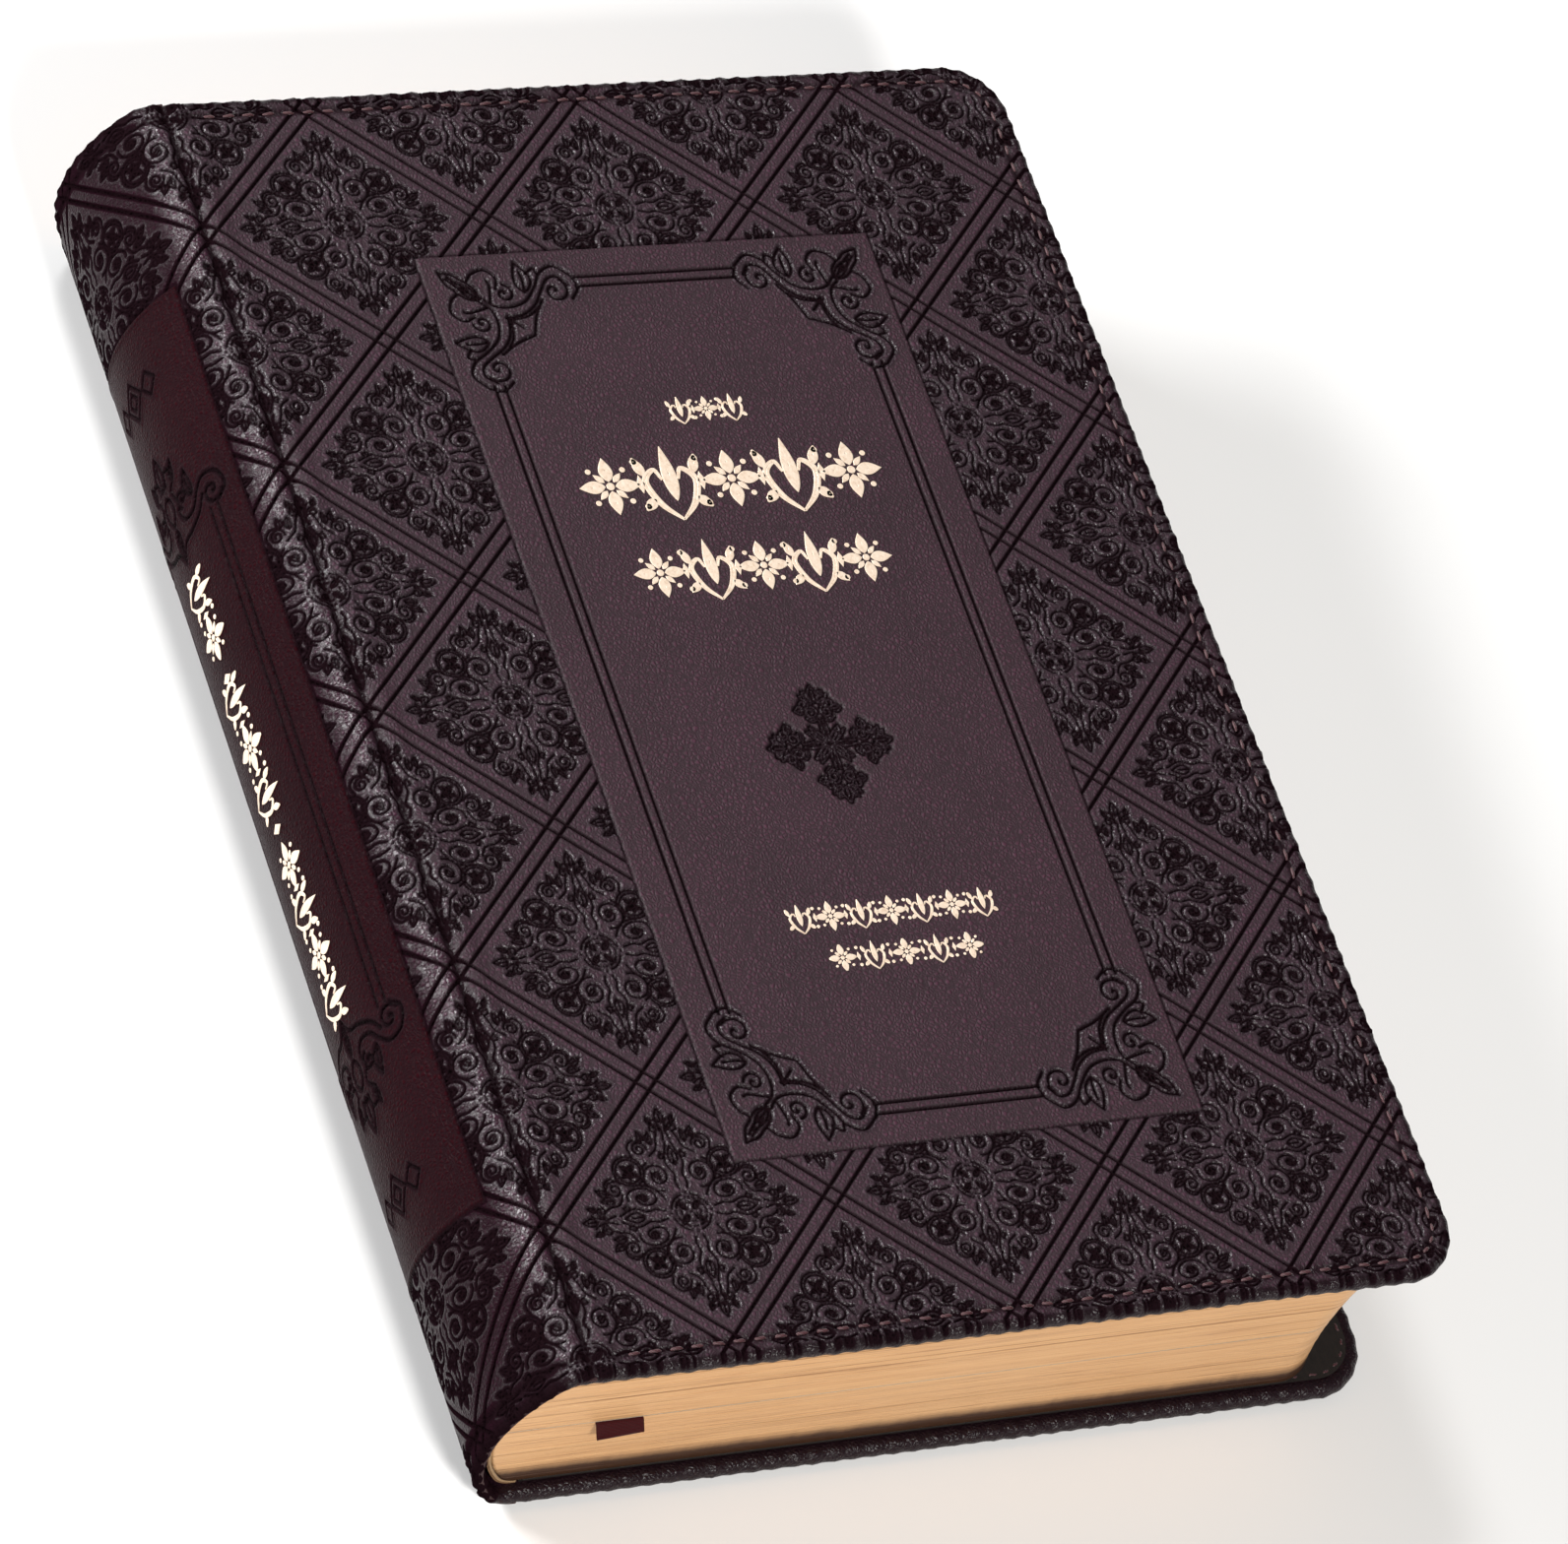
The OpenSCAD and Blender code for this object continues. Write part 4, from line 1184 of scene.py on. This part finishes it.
def leather_material(name, gloss, varied=True):
    m = Mat(name, Specular_IOR_Level=gloss)
    stamp_sheen, cut, shade_mask, red, spine = (m.value(key) for key in ("stamp_sheen", "cut", "shade_mask", "red", "spine"))
    tone = m.noise(0.05, 4, 0.6)
    fine = m.noise(1.6, 3, 0.65)
    plum = m.ramp(tone, (0.3, rgb(57, 25, 43)), (0.7, rgb(70, 36, 55)))
    plum = m.mix(m.span(fine, 0.0, 0.5), plum, rgb(46, 19, 32))
    wine = m.ramp(tone, (0.3, rgb(56, 6, 16)), (0.7, rgb(68, 11, 23)))
    base = m.mix(red, plum, wine)
    # the stamped area is painted a greyer plum: partly the stamp's own tone, partly painted sheen
    stamp_sheen_tone = m.ramp(m.noise(0.5, 3, 0.6), (0.3, rgb(58, 46, 54)), (0.8, rgb(76, 62, 71)))
    base = m.mix(m.math("MULTIPLY", stamp_sheen, 0.8, True), base, stamp_sheen_tone)
    # painted shade: the spine's leather is darkened towards near black, for the shade the spine sits in
    base = m.mix(m.math("MULTIPLY", spine, 0.72), base, rgb(14, 3, 5))
    # painted shade: the crease, the seam's groove, the rolled edges and the turn-ins are darkened
    base = m.mix(m.math("MULTIPLY", shade_mask, 0.92, True), base, rgb(14, 7, 9))
    # the grooves are painted near black: partly the darker pressed leather of the stamp, partly painted
    # shade in the recess
    base = m.mix(m.math("MULTIPLY", cut, 1.0, True), base, rgb(2, 1, 1))
    # satin on the flat of the covers, glossier where the leather is pressed or bent
    along = m.node("ShaderNodeSeparateXYZ")
    m.link(m.place, along.inputs[0])
    bent = m.node("ShaderNodeMapRange")
    m.link(along.outputs["X"], bent.inputs[0])
    bent.inputs[1].default_value, bent.inputs[2].default_value = BENT_FROM, BENT_TO
    pressed = m.math("MAXIMUM", m.math("MAXIMUM", stamp_sheen, shade_mask), bent.outputs[0])
    rough = m.math("SUBTRACT", m.span(fine, 0.55, 0.66), m.math("MULTIPLY", pressed, 0.32))
    grain = m.cells(1.35)
    pebble = m.math("MINIMUM", m.math("MULTIPLY", grain, 2.3), 1.0)
    pore = m.noise(2.6, 3, 0.6)
    crinkle = m.noise(0.30, 5, 0.65)
    lift = m.math("ADD", pebble, m.math("MULTIPLY", pore, 0.8))
    normal = m.bump(lift, 0.8, 0.00014)
    normal = m.bump(crinkle, 0.25, 0.0002, normal)
    base = m.mix(m.math("MULTIPLY", m.math("SUBTRACT", 1.0, pebble), 0.85), base, rgb(22, 11, 15))
    if varied:
        # the grooves, the pinched edges and the shaded spine shine less
        dull = m.math("ADD", m.math("MULTIPLY", cut, 0.97), m.math("MULTIPLY", shade_mask, 0.6))
        plain = m.math("SUBTRACT", 1.0, m.math("MULTIPLY", stamp_sheen, 0.15))
        plain = m.math("MULTIPLY", m.math("MULTIPLY", spine, plain), 0.93)
        dull = m.math("ADD", dull, plain, True)
        shine = m.math("MULTIPLY", m.math("SUBTRACT", 1.0, dull), gloss)
        m.link(shine, m.shader.inputs["Specular IOR Level"])
    return m.done(base, rough, normal)


def foil_material():
    m = Mat("foil", Metallic=0.35, Specular_IOR_Level=0.4)
    worn = m.noise(1.2, 4, 0.7)
    tone = m.ramp(worn, (0.2, rgb(196, 166, 140)), (0.45, rgb(231, 209, 187)), (0.8, rgb(243, 227, 209)))
    rough = m.span(m.noise(2.2, 3), 0.30, 0.5)
    normal = m.bump(m.math("ADD", m.cells(1.3), m.math("MULTIPLY", worn, 0.4)), 0.5, 0.00008)
    return m.done(tone, rough, normal)


def gilt_material():
    m = Mat("gilt_pages", Metallic=0.35, Specular_IOR_Level=0.45)
    parts = m.node("ShaderNodeSeparateXYZ")
    m.link(m.place, parts.inputs[0])
    z = parts.outputs["Z"]
    lines = m.noise(3.2, 5, 0.75, (0.012, 0.012, 1.0))
    broad = m.noise(0.35, 4, 0.6, (0.05, 0.05, 1.0))
    patch = m.noise(0.03, 3, 0.5)
    gold = m.ramp(lines, (0.30, rgb(112, 72, 40)), (0.44, rgb(198, 150, 100)), (0.75, rgb(222, 180, 130)))
    gold = m.mix(m.span(broad, 0.0, 0.5), gold, rgb(176, 124, 74))
    gold = m.mix(m.span(patch, 0.0, 0.25), gold, rgb(222, 190, 150))
    # painted shade: the gilt is darkened to brown in the openings between bundles of leaves
    gold = m.mix(m.math("MULTIPLY", m.value("gap"), 0.85), gold, rgb(84, 46, 22))
    # painted shade: the leaves are darkened to brown towards the bottom of the block, with a ragged upper
    # limit
    level = m.math("ADD", z, m.math("MULTIPLY", m.noise(0.2, 4, 0.7, (1, 1, 0.2)), 0.0016))
    low = m.node("ShaderNodeMapRange")
    m.link(level, low.inputs[0])
    low.inputs[1].default_value, low.inputs[2].default_value = 0.0068, 0.0092
    low.inputs[3].default_value, low.inputs[4].default_value = 0.95, 0.0
    gold = m.mix(low.outputs[0], gold, rgb(44, 16, 6))
    # the flat faces are paper, not gilt
    flat = m.node("ShaderNodeSeparateXYZ")
    m.link(m.node("ShaderNodeTexCoord").outputs["Normal"], flat.inputs[0])
    up = m.math("GREATER_THAN", m.math("ABSOLUTE", flat.outputs["Z"]), 0.7)
    paper = m.ramp(m.noise(1.1, 4, 0.7), (0.3, rgb(190, 181, 160)), (0.7, rgb(204, 196, 177)))
    colour = m.mix(up, gold, paper)
    metal = m.math("MULTIPLY", m.math("SUBTRACT", 1.0, up), 0.35)
    m.link(metal, m.shader.inputs["Metallic"])
    rough = m.math("ADD", m.span(lines, 0.34, 0.5), m.math("MULTIPLY", up, 0.3))
    normal = m.bump(lines, 0.35, 0.00008)
    return m.done(colour, rough, normal)


def paper_material(name, low, high, rough=0.8, spotted=0.0):
    m = Mat(name, Specular_IOR_Level=0.3)
    fibre = m.noise(1.6, 5, 0.7, (1, 0.35, 1))
    tone = m.ramp(fibre, (0.3, low), (0.7, high))
    tone = m.mix(m.math("MULTIPLY", m.noise(0.03, 3), spotted), tone, low)
    normal = m.bump(m.math("ADD", fibre, m.noise(5.0, 2)), 0.25, 0.00005)
    return m.done(tone, m.span(fibre, rough - 0.08, rough + 0.06), normal)


def board_material():
    m = Mat("board", Specular_IOR_Level=0.25)
    pulp = m.noise(0.9, 5, 0.75)
    layers = m.noise(4.0, 3, 0.6, (0.06, 0.06, 1))
    tone = m.ramp(pulp, (0.3, rgb(118, 104, 84)), (0.7, rgb(150, 134, 110)))
    tone = m.mix(m.span(layers, 0.0, 0.4), tone, rgb(96, 84, 68))
    return m.done(tone, m.span(pulp, 0.8, 0.95), m.bump(layers, 0.5, 0.0001))


def cloth_material(name, low, high, pitch, rough):
    """A plain weave: bands across and along, pitch threads to a millimetre."""
    m = Mat(name, Specular_IOR_Level=0.35, Sheen_Weight=0.15)
    warp, weft = m.bands(pitch, "X", 0.4), m.bands(pitch, "Y", 0.4)
    weave = m.math("MAXIMUM", warp, weft)
    tone = m.ramp(weave, (0.35, low), (0.85, high))
    tone = m.mix(m.math("MULTIPLY", m.noise(0.4, 4), 0.3), tone, low)
    return m.done(tone, m.span(m.noise(1.0), rough - 0.06, rough + 0.06), m.bump(weave, 0.6, 0.00012))


def thread_material(name, low, high, rough):
    m = Mat(name, Specular_IOR_Level=0.5, Sheen_Weight=0.2)
    fibre = m.noise(5.0, 4, 0.7, (1, 1, 2))
    ply = m.bands(1.3, "DIAGONAL", 1.0)
    tone = m.ramp(m.math("MULTIPLY", m.math("ADD", fibre, ply), 0.5), (0.25, low), (0.75, high))
    return m.done(tone, m.span(fibre, rough - 0.08, rough + 0.1), m.bump(fibre, 0.5, 0.00006))


def ribbon_material():
    m = Mat("ribbon", Specular_IOR_Level=0.14, Anisotropic=0.5)
    ribs = m.bands(1.9, "Y", 0.25)
    threads = m.bands(3.2, "X", 0.5)
    tone = m.ramp(m.math("MULTIPLY", m.math("ADD", ribs, threads), 0.5),
                  (0.2, rgb(30, 1, 3)), (0.8, rgb(62, 4, 9)))
    return m.done(tone, m.span(m.noise(2.0), 0.34, 0.48), m.bump(ribs, 0.5, 0.0001))


leather = leather_material("cover_leather", 0.45)
label_skin = leather_material("label_leather", 0.012, False)
foil = foil_material()
gilt = gilt_material()
endpaper = paper_material("endpaper", rgb(20, 15, 13), rgb(31, 25, 22), 0.7)
kraft = paper_material("lining_paper", rgb(92, 66, 44), rgb(118, 88, 60), 0.85)
board = board_material()
mull = cloth_material("mull", rgb(120, 92, 60), rgb(158, 126, 88), 1.4, 0.85)
card = paper_material("dark_card", rgb(34, 14, 16), rgb(50, 24, 26), 0.8)
cover_thread = thread_material("cover_thread", rgb(40, 12, 18), rgb(74, 28, 36), 0.5)
book_thread = thread_material("book_thread", rgb(205, 198, 182), rgb(238, 234, 222), 0.7)
satin = ribbon_material()

# ---------------------------------------------------------------- the pieces
GRID = 0.22
front = cover_leather("front_leather", front_relief, GRID, leather)
back = cover_leather("back_leather", back_relief, GRID * 1.8, leather, mirror=True)
spine = spine_leather("spine_leather", GRID, leather, label_skin)
front_stitches = stitching("front_stitches", cover_thread)
back_stitches = stitching("back_stitches", cover_thread, mirror=True)
front_gold = front_foil("front_ornaments", foil)
spine_gold = spine_foil("spine_ornaments", foil)
upper_pages = page_block("upper_pages", MID_Z + 0.05, upper_high[2], 0.14, gilt)
lower_pages = page_block("lower_pages", lower_low[2], MID_Z - 0.05, 0.14, gilt)
fly_low, fly_high = box_mm("back_flyleaf")
front_fly = flyleaf("front_flyleaf_sheet", flyleaf_low, flyleaf_high, endpaper)
back_fly = flyleaf("back_flyleaf_sheet", fly_low, fly_high, endpaper)
marker = ribbon("ribbon", satin)


def metres(x, y, z):
    return (x * MM, y * MM, z * MM)


def join(piece, a, b, start, end, slot, *nodes):
    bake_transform(piece)
    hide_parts(*nodes)


def fix(piece, body, slot, *nodes):
    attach(piece, body)
    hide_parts(*nodes)


CREASE_HALF = 1.5
join(front, "upper_leaves", "front_cover", (CREASE_X - CREASE_HALF, 0, TOP_Z),
     (CREASE_X + CREASE_HALF, 0, TOP_Z), "cover_leather", "front_cover_leather")
join(back, "root", "back_cover", (CREASE_X - CREASE_HALF, 0, 0),
     (CREASE_X + CREASE_HALF, 0, 0), "cover_leather", "back_cover_leather")
join(spine, "root", "upper_leaves", (SPINE_X, 0, MID_Z - 2), (SPINE_X, 0, MID_Z + 2),
     "cover_leather", "spine_leather_upper", "spine_leather_lower")
join(spine_gold, "root", "upper_leaves", (SPINE_X, 0, MID_Z - 2), (SPINE_X, 0, MID_Z + 2),
     "foil", "spine_foil_upper", "spine_foil_lower")
join(front_fly, "upper_leaves", "front_flyleaf", (flyleaf_low[0], 0, TOP_Z),
     (flyleaf_low[0] + 1.5, 0, TOP_Z), "endpaper", "front_flyleaf")
join(back_fly, "root", "back_flyleaf", (fly_low[0], 0, 0), (fly_low[0] + 1.5, 0, 0),
     "endpaper", "back_flyleaf")
fix(front_stitches, "front_cover", "cover_thread", "front_cover_stitching")
fix(back_stitches, "back_cover", "cover_thread", "back_cover_stitching")
fix(front_gold, "front_cover", "foil", "front_cover_foil")
fix(upper_pages, "upper_leaves", "gilt_pages", "upper_sections")
fix(lower_pages, "root", "gilt_pages", "lower_sections")
fix(marker, "root", "ribbon", "ribbon_marker")

for ends, material in (("cover_board", board), ("cover_pastedown", endpaper)):
    for side in ("front", "back"):
        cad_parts[f"{side}_{ends}"].material_slots[0].material = material
for part, material in (("spine_stiffener", card), ("spine_lining", kraft), ("spine_mull", mull)):
    for half in ("upper", "lower"):
        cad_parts[f"{part}_{half}"].material_slots[0].material = material
for half in ("upper", "lower"):
    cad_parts[f"{half}_sewing_thread"].material_slots[0].material = book_thread


# ---------------------------------------------------------------- floor, light and camera
def studio():
    floor_z = -0.0006
    mesh = bpy.data.meshes.new("floor")
    mesh.from_pydata([(-4, -4, floor_z), (4, -4, floor_z), (4, 4, floor_z), (-4, 4, floor_z)],
                     [], [(0, 1, 2, 3)])
    floor = bpy.data.objects.new("floor", mesh)
    bpy.context.scene.collection.objects.link(floor)
    m = Mat("floor", Specular_IOR_Level=0.14)
    m.done((0.76, 0.76, 0.76, 1), 0.8)
    mesh.materials.append(m.mat)
    world = bpy.data.worlds.new("studio")
    world.use_nodes = True
    background = world.node_tree.nodes["Background"]
    background.inputs["Color"].default_value = (1, 1, 1, 1)
    background.inputs["Strength"].default_value = 0.16
    bpy.context.scene.world = world


def area_light(name, place, aim, size, power, colour=(1, 1, 1)):
    data = bpy.data.lights.new(name, "AREA")
    data.shape = "RECTANGLE"
    data.size, data.size_y = size
    data.energy = power
    data.color = colour
    lamp = bpy.data.objects.new(name, data)
    lamp.location = place
    lamp.rotation_euler = (Vector(aim) - Vector(place)).to_track_quat("-Z", "Y").to_euler()
    bpy.context.scene.collection.objects.link(lamp)


def camera(place, aim, roll, lens):
    """A camera at place that looks at aim, turned about its axis by roll."""
    data = bpy.data.cameras.new("camera")
    data.lens, data.sensor_width = lens, 36.0
    data.clip_end = 20
    view = bpy.data.objects.new("camera", data)
    ahead = (Vector(aim) - Vector(place)).normalized()
    right = ahead.cross(Vector((0, 0, 1))).normalized()
    up = right.cross(ahead)
    turn = math.radians(roll)
    side = right * math.cos(turn) + up * math.sin(turn)
    top = up * math.cos(turn) - right * math.sin(turn)
    view.matrix_world = Matrix.Translation(place) @ Matrix((side, top, -ahead)).transposed().to_4x4()
    bpy.context.scene.collection.objects.link(view)
    bpy.context.scene.camera = view


studio()
area_light("side", (-1.15, 0.70, 0.66), (0, 0, 0.02), (0.6, 0.34), 32)
area_light("key", (-0.15, -1.15, 1.05), (0, 0, 0.02), (0.3, 0.3), 25, (1, 0.98, 0.95))
area_light("over", (-0.25, 0.95, 1.25), (0, 0, 0.02), (0.35, 0.35), 9)
camera(metres(-612.8, -633.6, 1075.0), metres(7.73, -5.15, 20.0), 32.06, 197.8)
bpy.context.scene.view_settings.view_transform = "Standard"

bpy.context.view_layer.update()
